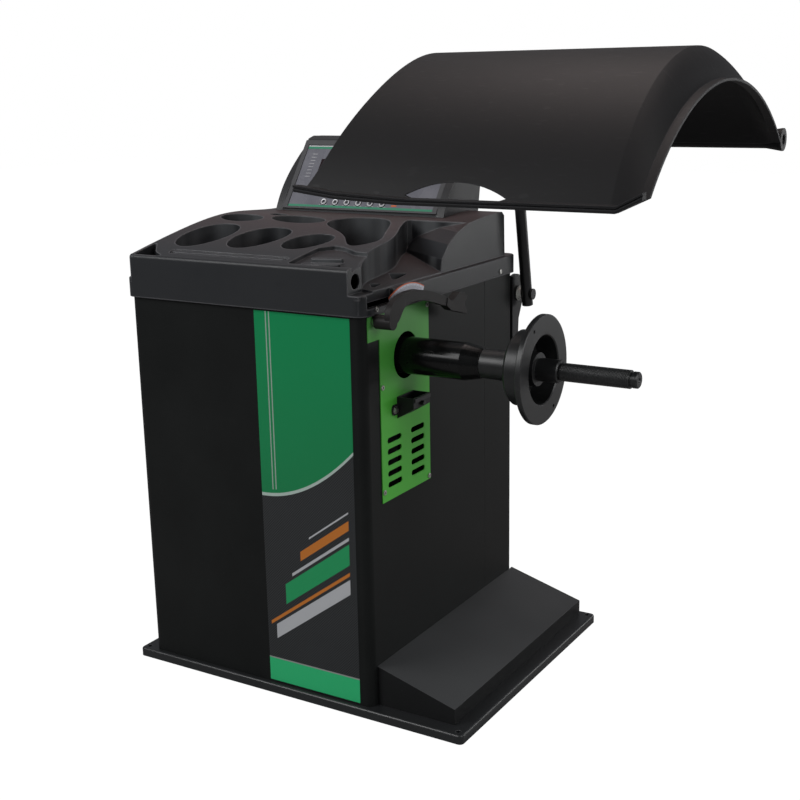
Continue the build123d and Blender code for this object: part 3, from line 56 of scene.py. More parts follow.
SPINDLE = Vector(joint["spindle_spin"]["pos_m"])


# ---------------------------------------------------------------- camera and studio
def place_camera():
    """A long lens at the front right corner, a little above the hood's height."""
    yaw, pitch, roll = (math.radians(angle) for angle in (31.436, 14.357, -1.097))
    forward = Vector((-math.sin(yaw) * math.cos(pitch), math.cos(yaw) * math.cos(pitch), -math.sin(pitch)))
    level = Vector((math.cos(yaw), math.sin(yaw), 0))
    upright = level.cross(forward)
    side = level * math.cos(roll) + upright * math.sin(roll)
    up = upright * math.cos(roll) - level * math.sin(roll)
    data = bpy.data.cameras.new("camera")
    data.lens, data.sensor_width, data.clip_end = 57.18, 36, 60
    camera = bpy.data.objects.new("camera", data)
    camera.matrix_world = Matrix((
        (side.x, up.x, -forward.x, 1.5374), (side.y, up.y, -forward.y, -2.3701),
        (side.z, up.z, -forward.z, 1.3121), (0, 0, 0, 1)))
    bpy.context.collection.objects.link(camera)
    bpy.context.scene.camera = camera


def soft_box(name, place, target, width, height, power, colour=(1, 1, 1)):
    """A rectangular soft light that faces a target."""
    data = bpy.data.lights.new(name, "AREA")
    data.shape, data.size, data.size_y, data.energy = "RECTANGLE", width, height, power
    data.color = colour
    lamp = bpy.data.objects.new(name, data)
    lamp.location = place
    lamp.rotation_euler = (Vector(target) - Vector(place)).to_track_quat("-Z", "Y").to_euler()
    bpy.context.collection.objects.link(lamp)


place_camera()
bpy.context.scene.view_settings.view_transform = "Standard"


# ---------------------------------------------------------------- shader expressions
class Sock:
    """A node's output that adds, multiplies and compares like a number."""

    def __init__(self, shader, socket):
        self.shader, self.socket = shader, socket

    def math(self, operation, *values):
        return self.shader.node("Math", {"operation": operation},
                                {i: v for i, v in enumerate((self, *values))})

    def __add__(self, other): return self.math("ADD", other)
    def __sub__(self, other): return self.math("SUBTRACT", other)
    def __mul__(self, other): return self.math("MULTIPLY", other)
    def __truediv__(self, other): return self.math("DIVIDE", other)
    def __neg__(self): return self.math("MULTIPLY", -1.0)
    def __rsub__(self, other): return -self + other
    __radd__, __rmul__ = __add__, __mul__

    def above(self, edge, soft=0.0002):
        """0 below the edge and 1 above it, over a soft step."""
        return self.shader.node("Map Range", {"clamp": True}, {
            "Value": self, "From Min": edge - soft, "From Max": edge + soft, "To Min": 0.0, "To Max": 1.0})

    def below(self, edge, soft=0.0002): return 1 - self.above(edge, soft)

    def between(self, low, high, soft=0.0002): return self.above(low, soft) * self.below(high, soft)

    def repeat(self, pitch): return self.math("FLOORED_MODULO", pitch)

    def sine(self): return self.math("SINE")

    def power(self, exponent): return self.math("POWER", exponent)


class Finish:
    """One material: a Principled shader with a node maker and the Object coordinates."""

    TYPES = {"Math": "ShaderNodeMath", "Map Range": "ShaderNodeMapRange", "Noise": "ShaderNodeTexNoise",
             "Voronoi": "ShaderNodeTexVoronoi", "Wave": "ShaderNodeTexWave", "Bump": "ShaderNodeBump",
             "Mix": "ShaderNodeMix", "Bevel": "ShaderNodeBevel", "Mapping": "ShaderNodeMapping",
             "Coordinates": "ShaderNodeTexCoord", "Separate": "ShaderNodeSeparateXYZ",
             "Light Path": "ShaderNodeLightPath", "Emission": "ShaderNodeEmission",
             "Mix Shader": "ShaderNodeMixShader", "Geometry": "ShaderNodeNewGeometry",
             "Vector Math": "ShaderNodeVectorMath"}

    def __init__(self, name, colour, roughness, metallic=0.0, coat=0.0, specular=0.5):
        self.material = bpy.data.materials.new(name)
        self.material.use_nodes = True
        self.tree = self.material.node_tree
        self.shader = self.tree.nodes["Principled BSDF"]
        self.colour, self.roughness = (*colour, 1.0), roughness
        self.set("Base Color", self.colour)
        self.set("Roughness", roughness)
        self.set("Metallic", metallic)
        self.set("Coat Weight", coat)
        self.set("Specular IOR Level", specular)
        self.place = self.node("Coordinates", {}, {}, "Object")
        axes = self.node("Separate", {}, {"Vector": self.place}, None)
        self.x, self.y, self.z = (Sock(self, axes.outputs[i]) for i in range(3))

    def node(self, kind, settings, values, output=0):
        """Adds a node; values are numbers, tuples or Socks, by socket name or index."""
        made = self.tree.nodes.new(self.TYPES[kind])
        for key, value in settings.items():
            setattr(made, key, value)
        for key, value in values.items():
            self.plug(made.inputs[key], value)
        return made if output is None else Sock(self, made.outputs[output])

    def plug(self, socket, value):
        if isinstance(value, Sock):
            self.tree.links.new(value.socket, socket)
        else:
            socket.default_value = value

    def set(self, name, value):
        self.plug(self.shader.inputs[name], value)

    def noise(self, size, detail=2.0, stretch=(1, 1, 1)):
        """Noise from 0 to 1 whose lumps are about size metres across."""
        place = self.node("Mapping", {}, {"Vector": self.place, "Scale": stretch})
        return self.node("Noise", {}, {"Vector": place, "Scale": 1 / size, "Detail": detail})

    def spots(self, size):
        """Distance to the nearest of scattered points about size apart, in cells."""
        return self.node("Voronoi", {}, {"Vector": self.place, "Scale": 1 / size})

    def mix(self, factor, low, high):
        """A colour between low and high."""
        low = low if isinstance(low, Sock) else (*low[:3], 1.0)
        high = high if isinstance(high, Sock) else (*high[:3], 1.0)
        return self.node("Mix", {"data_type": "RGBA"}, {0: factor, 6: low, 7: high}, 2)

    def edges(self, radius, least=0.02, most=0.10):
        """0 on open faces and 1 on outer and inner edges within a radius."""
        round_normal = self.node("Bevel", {"samples": 6}, {"Radius": radius})
        plain = self.node("Geometry", {}, {}, "Normal")
        match = self.node("Vector Math", {"operation": "DOT_PRODUCT"}, {0: round_normal, 1: plain}, "Value")
        return (1 - match).above((least + most) / 2, (most - least) / 2)

    def relief(self, height, depth, edge=0.0):
        """Bumps of the given depth in metres, over edges rounded by a radius."""
        values = {"Height": height, "Distance": depth, "Strength": 1.0}
        if edge:
            values["Normal"] = self.node("Bevel", {"samples": 4}, {"Radius": edge})
        self.set("Normal", self.node("Bump", {}, values))


def powder_coat(name, colour, roughness=0.42, edge=0.0012, specular=0.16, edge_glint=0.35):
    """Fine orange-peel powder coat with rare pale dust, faint wiped patches and edges lightened as a painted
    highlight.
    """
    paint = Finish(name, colour, roughness, specular=specular)
    patch = paint.noise(0.16, 4)
    dust = (1 - paint.spots(0.011).above(0.045, 0.012)) * paint.noise(0.05).above(0.53, 0.05)
    tone = paint.mix(patch.above(0.5, 0.35), colour, [channel * 1.45 + 0.002 for channel in colour])
    # painted highlight: edges are lightened as if they caught the light
    tone = paint.mix(paint.edges(edge) * edge_glint, tone, (0.12, 0.12, 0.125))
    paint.set("Base Color", paint.mix(dust * 0.25, tone, (0.20, 0.21, 0.22)))
    paint.set("Roughness", roughness - 0.05 + patch * 0.12)
    paint.relief(paint.noise(0.0016, 2), 0.00012, edge)
    return paint


def facing_up(finish, least=0.86, soft=0.08):
    """1 on faces that look up and 0 on steeper ones."""
    normal = finish.node("Separate", {}, {"Vector": finish.node("Geometry", {}, {}, "Normal")}, None)
    return Sock(finish, normal.outputs[2]).above(least, soft)


def paler_upward_faces(finish, colour):
    """Lightens the faces that look up, in soft patches."""
    base_tone = Sock(finish, finish.shader.inputs["Base Color"].links[0].from_socket)
    film = facing_up(finish, 0.8) * (finish.noise(0.3, 2) * 0.6 + 0.5)
    finish.set("Base Color", finish.mix(film, base_tone, colour))
    return finish


def moulded(name, colour, roughness=0.5, grain=0.0009, edge=0.0022, specular=0.3, edge_glint=0.5):
    """Moulded plastic with a spark-eroded grain, a few long scuffs and edges lightened as a painted
    highlight.
    """
    skin = Finish(name, colour, roughness, specular=specular)
    scuff = skin.noise(0.03, 3, (1, 6, 1)).above(0.66, 0.03)
    patch = skin.noise(0.2, 3)
    tone = skin.mix(scuff * 0.16 + patch * 0.2, colour, [channel * 1.9 + 0.004 for channel in colour])
    # painted highlight: edges are lightened as if they caught the light
    skin.set("Base Color", skin.mix(skin.edges(edge) * edge_glint, tone, (0.10, 0.10, 0.108)))
    skin.set("Roughness", roughness - 0.06 + patch * 0.12 - scuff * 0.08)
    skin.relief(skin.noise(grain, 1), 0.00010, edge)
    return skin


def deck_plastic():
    """The tray's moulding: blue-black sides, a painted warm reflection and painted top light on what faces
    up, painted sheen on the walls, edges lightened as a painted highlight.
    """
    skin = moulded("deck_skin", (0.0150, 0.0160, 0.0180), 0.38, edge=0.004, specular=0.34)
    up = facing_up(skin)
    # painted reflection: a warm brown bloom on upward faces, fading out towards the front
    wear_and_warm_reflection = (skin.noise(0.22, 2) * 0.9 + 0.25) * (skin.y - FRONT).above(0.20, 0.16)
    tone = skin.mix(up * wear_and_warm_reflection, (0.0215, 0.0230, 0.0255), (0.082, 0.051, 0.050))
    # painted light: upward faces are lightened as if lit from above
    tone = skin.mix(up * 0.25, tone, (0.046, 0.046, 0.050))
    # painted sheen: pale streaks on the walls inside the tray, as if catching the light
    inside = (skin.x.between(LEFT + 0.020, RIGHT - 0.022, 0.002)
              * skin.y.between(FRONT + 0.024, BACK - 0.045, 0.002))
    walls = inside * (1 - facing_up(skin, 0.5, 0.1))
    sheen = walls * skin.noise(0.05, 1, (1, 1, 0.1)).above(0.5, 0.16) * 0.8
    tone = skin.mix(sheen, tone, (0.105, 0.110, 0.115))
    # painted highlight: rims and edges are lightened as if they caught the light
    skin.set("Base Color", skin.mix(skin.edges(0.005) * 0.75, tone, (0.17, 0.17, 0.18)))
    return skin.material


def turned_steel(name, colour, roughness, metallic, edge=0.0008, specular=0.5):
    """Lathe-turned metal: fine rings round the spindle's axis, oil film, wear and edges lightened as a
    painted highlight.
    """
    metal = Finish(name, colour, roughness, metallic, specular=specular)
    film = metal.noise(0.05, 3)
    rings = metal.noise(0.0015, 1, (1, 0.02, 0.02))
    wear_and_warm_reflection = metal.noise(0.012, 3).above(0.64, 0.05)
    tone = metal.mix(film * 0.4 + wear_and_warm_reflection * 0.2, colour, [min(1, channel * 2.2 + 0.008) for channel in colour])
    # painted highlight: edges are lightened as if they caught the light
    metal.set("Base Color", metal.mix(metal.edges(edge) * 0.4, tone, (0.22, 0.22, 0.22)))
    metal.set("Roughness", roughness + film * 0.12 - 0.05)
    metal.relief(rings, 0.00006, edge)
    return metal


def plated(name, colour, roughness, metallic=1.0):
    """Plated or rolled metal with a fine brushed grain."""
    metal = Finish(name, colour, roughness, metallic)
    cloud = metal.noise(0.004, 3)
    metal.set("Base Color", metal.mix(cloud, colour, [channel * 0.62 for channel in colour]))
    metal.set("Roughness", roughness + cloud * 0.2 - 0.08)
    metal.relief(metal.noise(0.0006, 1, (1, 1, 0.1)), 0.00004, 0.0004)
    return metal


def dress(material, *nodes):
    """Gives CAD nodes a finish."""
    for node in nodes:
        for holder in frame["nodes"][node].material_slots:
            holder.material = material


BLACK = (0.0072, 0.0080, 0.0079)
cabinet_coat = powder_coat("cabinet_coat", BLACK, 0.42, specular=0.13, edge_glint=0.25).material
# the floor tray's last figure gives its lip a strong painted edge highlight
tray_coat = powder_coat("floor_tray_coat", (0.012, 0.013, 0.014), 0.3, 0.0022, 0.5, 0.9).material
foot_coat = paler_upward_faces(powder_coat("foot_coat", (0.008, 0.0084, 0.0088), 0.36, specular=0.16, edge_glint=0.3),
                  (0.068, 0.070, 0.072)).material
tube_coat = powder_coat("tube_coat", (0.009, 0.009, 0.010), 0.3, 0.0006, 0.4).material
frame_coat = powder_coat("frame_coat", (0.03, 0.03, 0.032), 0.5).material
guard_skin = moulded("guard_skin", (0.0118, 0.0117, 0.0124), 0.5, 0.0012, 0.003, 0.12, 0.3).material
console_skin = moulded("console_skin", (0.026, 0.027, 0.029), 0.42, edge=0.0016, edge_glint=0.7).material
# dark plastic, coloured grey for a painted reflection of the light from above
bezel_grey_painted_reflection = moulded("bezel_grey_painted_reflection", (0.064, 0.066, 0.070), 0.42, edge=0.0016, edge_glint=0.7).material
gauge_skin = moulded("gauge_skin", (0.0125, 0.0112, 0.0112), 0.5, 0.0008, 0.0016, 0.2, 0.3).material
small_skin = moulded("small_skin", (0.011, 0.011, 0.012), 0.5, 0.0008, 0.0008, edge_glint=0.4).material
blackened = turned_steel("blackened_steel", (0.013, 0.0135, 0.014), 0.36, 0.25).material
housing_coat = turned_steel("housing_coat", (0.0026, 0.0028, 0.0028), 0.18, 0.0, specular=0.2).material
bright_steel = plated("bright_steel", (0.55, 0.55, 0.54), 0.3).material
zinc = plated("zinc_plate", (0.60, 0.60, 0.57), 0.34).material
black_zinc = plated("black_zinc", (0.05, 0.05, 0.052), 0.4, 0.6).material
cast_alloy = plated("cast_alloy", (0.42, 0.43, 0.44), 0.5).material
chrome = plated("hard_chrome", (0.6, 0.6, 0.6), 0.15).material
belt_rubber = moulded("belt_rubber", (0.012, 0.012, 0.012), 0.7, 0.002, 0.0004).material
board_green = moulded("board_green", (0.01, 0.09, 0.03), 0.45, 0.003, 0.0004).material


def green_coat():
    """The side panel's green enamel: smooth, a little streaked, with painted shade over the upper part and
    towards the spindle hole.
    """
    green = (0.080, 0.470, 0.046)
    paint = Finish("green_enamel", green, 0.36, specular=0.35)
    streak = paint.noise(0.06, 3, (1, 1, 0.25))
    away = (paint.y - SPINDLE.y) * (paint.y - SPINDLE.y) + (paint.z - SPINDLE.z) * (paint.z - SPINDLE.z)
    near = 1 - away.power(0.5).above(0.085, 0.05)
    tone = paint.mix(streak, green, (0.094, 0.52, 0.056))
    # painted shade: the panel is darker above the spindle
    rise = (paint.z - SPINDLE.z).above(-0.01, 0.09)
    tone = paint.mix(rise * 0.7, tone, (0.074, 0.250, 0.066))
    # painted shade: darker round the spindle hole
    paint.set("Base Color", paint.mix(near * 0.4, tone, (0.02, 0.12, 0.02)))
    paint.set("Roughness", 0.30 + streak * 0.12)
    paint.relief(paint.noise(0.0024, 2), 0.00008, 0.0006)
    return paint.material


def washer_skin():
    """A black disc against the bracket and a pale plastic ring outside it."""
    skin = Finish("pivot_washer_skin", (0.5, 0.5, 0.48), 0.45)
    outer = skin.x.above(RIGHT + 4.4 * MM)
    skin.set("Base Color", skin.mix(outer, BLACK, (0.55, 0.55, 0.52)))
    skin.relief(skin.noise(0.001, 1), 0.00006, 0.0005)
    return skin.material


dress(cabinet_coat, "front_shell", "rear_shell", "rear_cover")
dress(foot_coat, "foot_box")
dress(tray_coat, "base_tray")
dress(green_coat(), "side_panel")
dress(deck_plastic(), "weight_tray")
dress(guard_skin, "guard_shell")
dress(console_skin, "display_housing")
dress(bezel_grey_painted_reflection, "display_bezel")
dress(gauge_skin, "gauge_arm", "gauge_claw")
dress(small_skin, "tool_holder", "mains_inlet", "switch_frame", "switch_rocker", "encoder_reader")
dress(blackened, "wheel_flange", "spindle_shaft")
dress(housing_coat, "spindle_housing")
dress(bright_steel, "motor_rotor", "spring_plates", "rear_bearing", "front_bearing")
dress(zinc, "side_panel_screws", "tray_screws", "force_sensors", "bracket_bolts", "holder_screw")
dress(black_zinc, "holder_clip", "rear_cover_screws", "guard_screws", "guard_axle")
dress(cast_alloy, "drive_motor", "driven_pulley", "encoder_disc", "gauge_guide")
dress(chrome, "gauge_rod", "gauge_sleeve")
dress(frame_coat, "spindle_post", "motor_bracket")
dress(tube_coat, "guard_tube", "guard_bracket")
dress(belt_rubber, "drive_belt")
dress(board_green, "power_board")
dress(washer_skin(), "pivot_washers")


# ---------------------------------------------------------------- mesh makers
def add_piece(name, mesh, body, smooth=False):
    """Puts a finished mesh in the scene, riding on a body."""
    if smooth:
        mesh.shade_smooth()
    piece = bpy.data.objects.new(name, mesh)
    bpy.context.collection.objects.link(piece)
    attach(piece, body)
    return piece


def closed_mesh(name, bm, material):
    """Turns a bmesh into a mesh whose faces point outwards."""
    bmesh.ops.recalc_face_normals(bm, faces=bm.faces)
    mesh = bpy.data.meshes.new(name)
    bm.to_mesh(mesh)
    bm.free()
    mesh.materials.append(material)
    return mesh


def plate(bm, corners, thickness):
    """Adds a thin closed plate: corners anticlockwise seen from outside, thickness outwards."""
    a, b, c = (Vector(corner) for corner in corners[:3])
    out = (b - a).cross(c - b).normalized() * thickness
    low = [bm.verts.new(corner) for corner in corners]
    high = [bm.verts.new(Vector(corner) + out) for corner in corners]
    bm.faces.new(low[::-1])
    bm.faces.new(high)
    for i in range(len(corners)):
        j = (i + 1) % len(corners)
        bm.faces.new((low[i], low[j], high[j], high[i]))


def lathe(bm, outline, centre, segments=96, shift=None):
    """Adds a closed solid of revolution about the X line through centre, from (x, radius) points.

    shift(x, turn, radius) may change the radius round the turn, for a thread.
    """
    rings = []
    for x, radius in outline:
        ring = []
        for step in range(segments):
            turn = step / segments
            r = shift(x, turn, radius) if shift else radius
            angle = 2 * math.pi * turn
            ring.append(bm.verts.new((x, centre.y + r * math.cos(angle), centre.z + r * math.sin(angle))))
        rings.append(ring)
    for ring, after in zip(rings, rings[1:]):
        for step in range(segments):
            ahead = (step + 1) % segments
            bm.faces.new((ring[step], ring[ahead], after[ahead], after[step]))
    bm.faces.new(rings[0])
    bm.faces.new(rings[-1][::-1])


# ---------------------------------------------------------------- threaded arbor
def arbor_thread():
    """The shaft with the arbor's rolled trapezoidal thread, a run-out at each end and a plain tip."""
    lo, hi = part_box("spindle_shaft")
    crest, tip_radius, groove = 18 * MM, 16 * MM, 14.5 * MM
    bearing, seat, relief = 15 * MM, 20 * MM, 16.5 * MM
    pitch, depth = 3 * MM, 0.9 * MM
    step = pitch / 8
    hub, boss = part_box("wheel_flange")[0].x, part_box("wheel_flange")[1].x
    neck = hi.x - 16 * MM
    first, last = boss + 3 * MM, neck - 2 * MM

    def ridge(x, turn, radius):
        if not first < x < last:
            return radius
        phase = (x / pitch + turn) % 1
        height = min(1.0, max(0.0, (abs(phase - 0.5) - 0.13) / 0.17))
        fade = min(1.0, (x - first) / pitch, (last - x) / pitch)
        return radius - depth * (1 - height) * fade

    outline = [(lo.x, bearing - 1 * MM), (lo.x + 1 * MM, bearing),
               (hub - 0.5 * MM, bearing), (hub - 0.5 * MM, seat),
               (boss - 1 * MM, seat), (boss - 1 * MM, relief), (first - 0.4 * MM, relief)]
    count = round((last - first) / step)
    outline += [(first + i * (last - first) / count, crest) for i in range(count + 1)]
    outline += [(neck - 0.5 * MM, crest), (neck, crest - 0.5 * MM), (neck, groove), (neck + 5 * MM, groove),
                (neck + 5 * MM, tip_radius - 0.4 * MM), (neck + 5.4 * MM, tip_radius),
                (hi.x - 2 * MM, tip_radius), (hi.x, tip_radius - 2 * MM), (hi.x, 6 * MM),
                (hi.x - 4 * MM, 2.5 * MM)]
    bm = bmesh.new()
    lathe(bm, outline, SPINDLE, 72, ridge)
    mesh = closed_mesh("threaded_shaft", bm, blackened)
    piece = add_piece("threaded_shaft", mesh, "spindle", smooth=True)
    mesh.set_sharp_from_angle(angle=math.radians(32))
    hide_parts("spindle_shaft")


arbor_thread()


# ---------------------------------------------------------------- printed front panel
def print_inks():
    """The printed film: green field, a dark woven field under a swept curve, pale slanted bars."""
    x0, x1 = RIGHT - 266 * MM, RIGHT - 31 * MM
    z0 = FLOOR + 5 * MM
    inks = Finish("front_print", (0.01, 0.17, 0.06), 0.3, specular=0.22)
    u = (inks.x - x0) / (x1 - x0)
    z = inks.z - z0
    green = inks.mix(z.above(0.62, 0.24), (0.012, 0.200, 0.066), (0.006, 0.262, 0.086))
    glow = inks.noise(0.35, 2)
    green = inks.mix(glow * 0.4, green, (0.010, 0.30, 0.115))
    # woven dark field below a curve that rises to the right
    weave = ((inks.x * 2 * math.pi / 0.006).sine() * (inks.z * 2 * math.pi / 0.006).sine()).above(0.0, 0.35)
    shade = inks.noise(0.12, 3)
    dark = inks.mix(weave * 0.7, (0.012, 0.013, 0.014), (0.06, 0.064, 0.066))
    dark = inks.mix(shade * 0.6, dark, (0.035, 0.037, 0.04))
    curve = z - (u * u * 0.12 + 0.43)
    field = curve.below(0.0, 0.0006)
    look = inks.mix(field, green, dark)
    rim = curve.between(-0.003, 0.004, 0.0004)
    look = inks.mix(rim, look, (0.45, 0.55, 0.5))
    # slanted bars: pale, orange and green, fading out to the left
    slant = z - u * 0.17
    for low, high, colour, reach in (
            (0.085, 0.118, (0.55, 0.56, 0.58), 0.10),
            (0.126, 0.134, (0.62, 0.20, 0.03), 0.04),
            (0.150, 0.196, (0.020, 0.36, 0.125), 0.22),
            (0.204, 0.211, (0.55, 0.56, 0.58), 0.30),
            (0.226, 0.247, (0.62, 0.20, 0.03), 0.40),
            (0.262, 0.266, (0.55, 0.56, 0.58), 0.50)):
        bar = slant.between(low, high, 0.0005) * u.above(reach, 0.002) * u.below(0.93, 0.002) * field
        look = inks.mix(bar * 0.9, look, colour)
    # two plain pinstripes up the green field
    for edge in (0.12, 0.155):
        stripe = u.between(edge, edge + 0.012, 0.0015) * curve.above(0.012, 0.0006)
        look = inks.mix(stripe * 0.8, look, (0.40, 0.46, 0.42))
    base = z.below(0.053, 0.0004)
    look = inks.mix(base, look, (0.034, 0.53, 0.200))
    look = inks.mix(z.between(0.053, 0.056, 0.0004), look, (0.3, 0.33, 0.31))
    inks.set("Base Color", look)
    inks.set("Roughness", 0.26 + inks.noise(0.08, 3) * 0.14)
    inks.relief(inks.noise(0.02, 2), 0.0003)
    return inks.material, x0, x1


def front_print():
    """The film on the cabinet's front face."""
    inks, x0, x1 = print_inks()
    z0, z1 = FLOOR + 5 * MM, FLOOR + 831 * MM
    y = FRONT - 0.1 * MM
    bm = bmesh.new()
    plate(bm, [(x0, y, z0), (x1, y, z0), (x1, y, z1), (x0, y, z1)], 0.3 * MM)
    add_piece("front_print", closed_mesh("front_print", bm, inks), "root")


front_print()

# ---------------------------------------------------------------- display graphics
face_lo, face_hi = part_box("display_panel")
TILT = math.radians(35.8)
UP = Vector((0, math.sin(TILT), math.cos(TILT)))
OUT = Vector((0, -math.cos(TILT), math.sin(TILT)))
FACE = Vector((face_lo.x, face_lo.y, face_lo.z + 3 * MM * math.sin(TILT)))
FACE_WIDTH = face_hi.x - face_lo.x
FACE_HEIGHT = 172.6 * MM


def on_face(u, v, out=0.0):
    """A point on the display panel: u from its left edge, v up from its lower edge, in metres."""
    return FACE + Vector((u, 0, 0)) + UP * v + OUT * out


def film_skin():
    """The display's grey-blue membrane: satin print with faint wiped marks."""
    film = Finish("display_film", (0.085, 0.085, 0.115), 0.25, coat=0.4)
    cloud = film.noise(0.04, 3)
    film.set("Base Color", film.mix(cloud, (0.110, 0.114, 0.138), (0.185, 0.190, 0.215)))
    film.set("Roughness", 0.2 + cloud * 0.15)
    film.relief(film.noise(0.002, 2), 0.00004, 0.0003)
    return film.material


def ink(name, colour, roughness=0.35):
    """A flat screen-printed ink with a little unevenness."""
    layer = Finish(name, colour, roughness)
    cloud = layer.noise(0.006, 2)
    layer.set("Base Color", layer.mix(cloud, colour, [channel * 0.8 for channel in colour]))
    layer.relief(layer.noise(0.0008, 1), 0.00002)
    return layer.material


white_ink = ink("white_ink", (0.62, 0.63, 0.64))
green_ink = ink("green_ink", (0.04, 0.26, 0.15))
orange_ink = ink("orange_ink", (0.62, 0.13, 0.03))
# dark ink for the number windows and scale marks, also used as painted shade in the screw recesses
dark_print_and_shade = ink("dark_print_and_shade", (0.02, 0.012, 0.014), 0.12)
red_segment = ink("red_segment", (0.35, 0.03, 0.03), 0.3)
dress(film_skin(), "display_panel")


def face_rect(bm, u0, u1, v0, v1, out, thickness=0.15 * MM):
    """A flat rectangle on the display panel."""
    plate(bm, [on_face(u0, v0, out), on_face(u1, v0, out), on_face(u1, v1, out), on_face(u0, v1, out)],
          thickness)


def printed(name, material, rects, out=0.02 * MM):
    """One piece of ink rectangles (u0, u1, v0, v1) in millimetres on the display panel."""
    bm = bmesh.new()
    for u0, u1, v0, v1 in rects:
        face_rect(bm, u0 * MM, u1 * MM, v0 * MM, v1 * MM, out)
    add_piece(name, closed_mesh(name, bm, material), "root")


def digit_segments(u, v, width, height, lit):
    """Seven-segment bars of one digit, as rectangles; lit names the segments drawn."""
    bar = width * 0.2
    half = height / 2
    spans = {"a": (u + bar, u + width - bar, v + height - bar, v + height),
             "b": (u + width - bar, u + width, v + half + bar / 2, v + height - bar),
             "c": (u + width - bar, u + width, v + bar, v + half - bar / 2),
             "d": (u + bar, u + width - bar, v, v + bar),
             "e": (u, u + bar, v + bar, v + half - bar / 2),
             "f": (u, u + bar, v + half + bar / 2, v + height - bar),
             "g": (u + bar, u + width - bar, v + half - bar / 2, v + half + bar / 2)}
    return [spans[name] for name in lit]


def display_print():
    """Stripes, number windows, plain rim diagrams and lamp rows on the membrane."""
    width, height = FACE_WIDTH / MM, FACE_HEIGHT / MM
    printed("display_green_stripes", green_ink,
            [(0.5, width - 0.5, 0.5, 6.5), (0.5, width - 0.5, height - 10, height - 4)])
    printed("display_white_stripe", white_ink, [(0.5, width - 0.5, height - 4, height - 0.8)])
    windows = [(52, 142, 92, 134), (width - 142, width - 52, 92, 134)]
    printed("display_windows", dark_print_and_shade, windows)
    digits = []
    for u0, _, v0, _ in windows:
        for place in range(3):
            digits += digit_segments(u0 + 9 + place * 26, v0 + 7, 19, 28, "abcdef")
    printed("display_digits", red_segment, digits, 0.2 * MM)
    middle = width / 2
    lines = [(middle - 40, middle + 40, 60, 61.2), (middle - 40, middle + 40, 140, 141.2),
             (middle - 40, middle - 38.8, 61.2, 140), (middle + 38.8, middle + 40, 61.2, 140),
             (middle - 14, middle + 14, 84, 85.2), (middle - 14, middle + 14, 116, 117.2),
             (middle - 14, middle - 12.8, 85.2, 116), (middle + 12.8, middle + 14, 85.2, 116)]
    for side in (20, width - 34):
        lines += [(side, side + 14, 84 + i * 9, 84.9 + i * 9) for i in range(8)]
    for key in range(6):
        u = 101 + key * 33
        lines += [(u - 11, u + 11, 29, 29.7), (u - 11, u + 11, 2.5 + 5, 3.2 + 5)]
    printed("display_lines", white_ink, lines)
    lamps = [(u, u + 6, 76 + i * 13, 79 + i * 13) for u in (158, width - 164) for i in range(5)]
    printed("display_lamps", red_segment, lamps)
    printed("display_orange_mark", orange_ink, [(292, 306, 10, 14)])


display_print()


def key_domes():
    """A snap dome over each key: a raised silver ring and a shallow crown, pressed with it."""
    silver = plated("key_silver", (0.55, 0.56, 0.58), 0.3, 0.4)
    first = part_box("display_key_1")
    middle = (first[0] + first[1]) / 2
    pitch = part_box("display_key_2")[0].x - first[0].x
    across = (silver.x - (middle.x - pitch / 2)).repeat(pitch) - pitch / 2
    upward = silver.y * UP.y + silver.z * UP.z - middle.dot(UP)
    reach = (across * across + upward * upward).power(0.5)
    ring = reach.between(0.0045, 0.0078, 0.0004)
    silver.set("Base Color", silver.mix(ring, (0.045, 0.045, 0.055), (0.55, 0.56, 0.58)))
    for number in range(1, 7):
        node = f"display_key_{number}"
        lo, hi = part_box(node)
        middle = (lo + hi) / 2
        radius = (hi.x - lo.x) / 2
        base = middle + OUT * 1.5 * MM
        side = Vector((1, 0, 0))
        bm = bmesh.new()
        rings = []
        for share, rise in ((0.98, -3.0), (0.98, -0.1), (0.90, 0.35), (0.74, 0.35), (0.66, 0.0), (0.45, 0.35),
                            (0.2, 0.5)):
            ring = []
            for step in range(40):
                angle = 2 * math.pi * step / 40
                place = (base + side * (radius * share * math.cos(angle))
                         + UP * (radius * share * math.sin(angle)))
                ring.append(bm.verts.new(place + OUT * rise * MM))
            rings.append(ring)
        for ring, after in zip(rings, rings[1:]):
            for step in range(40):
                ahead = (step + 1) % 40
                bm.faces.new((ring[step], ring[ahead], after[ahead], after[step]))
        bm.faces.new(rings[0][::-1])
        bm.faces.new(rings[-1])
        mesh = closed_mesh(f"key_dome_{number}", bm, silver.material)
        piece = add_piece(f"key_dome_{number}", mesh, f"key_{number}", smooth=True)
        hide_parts(node)


key_domes()


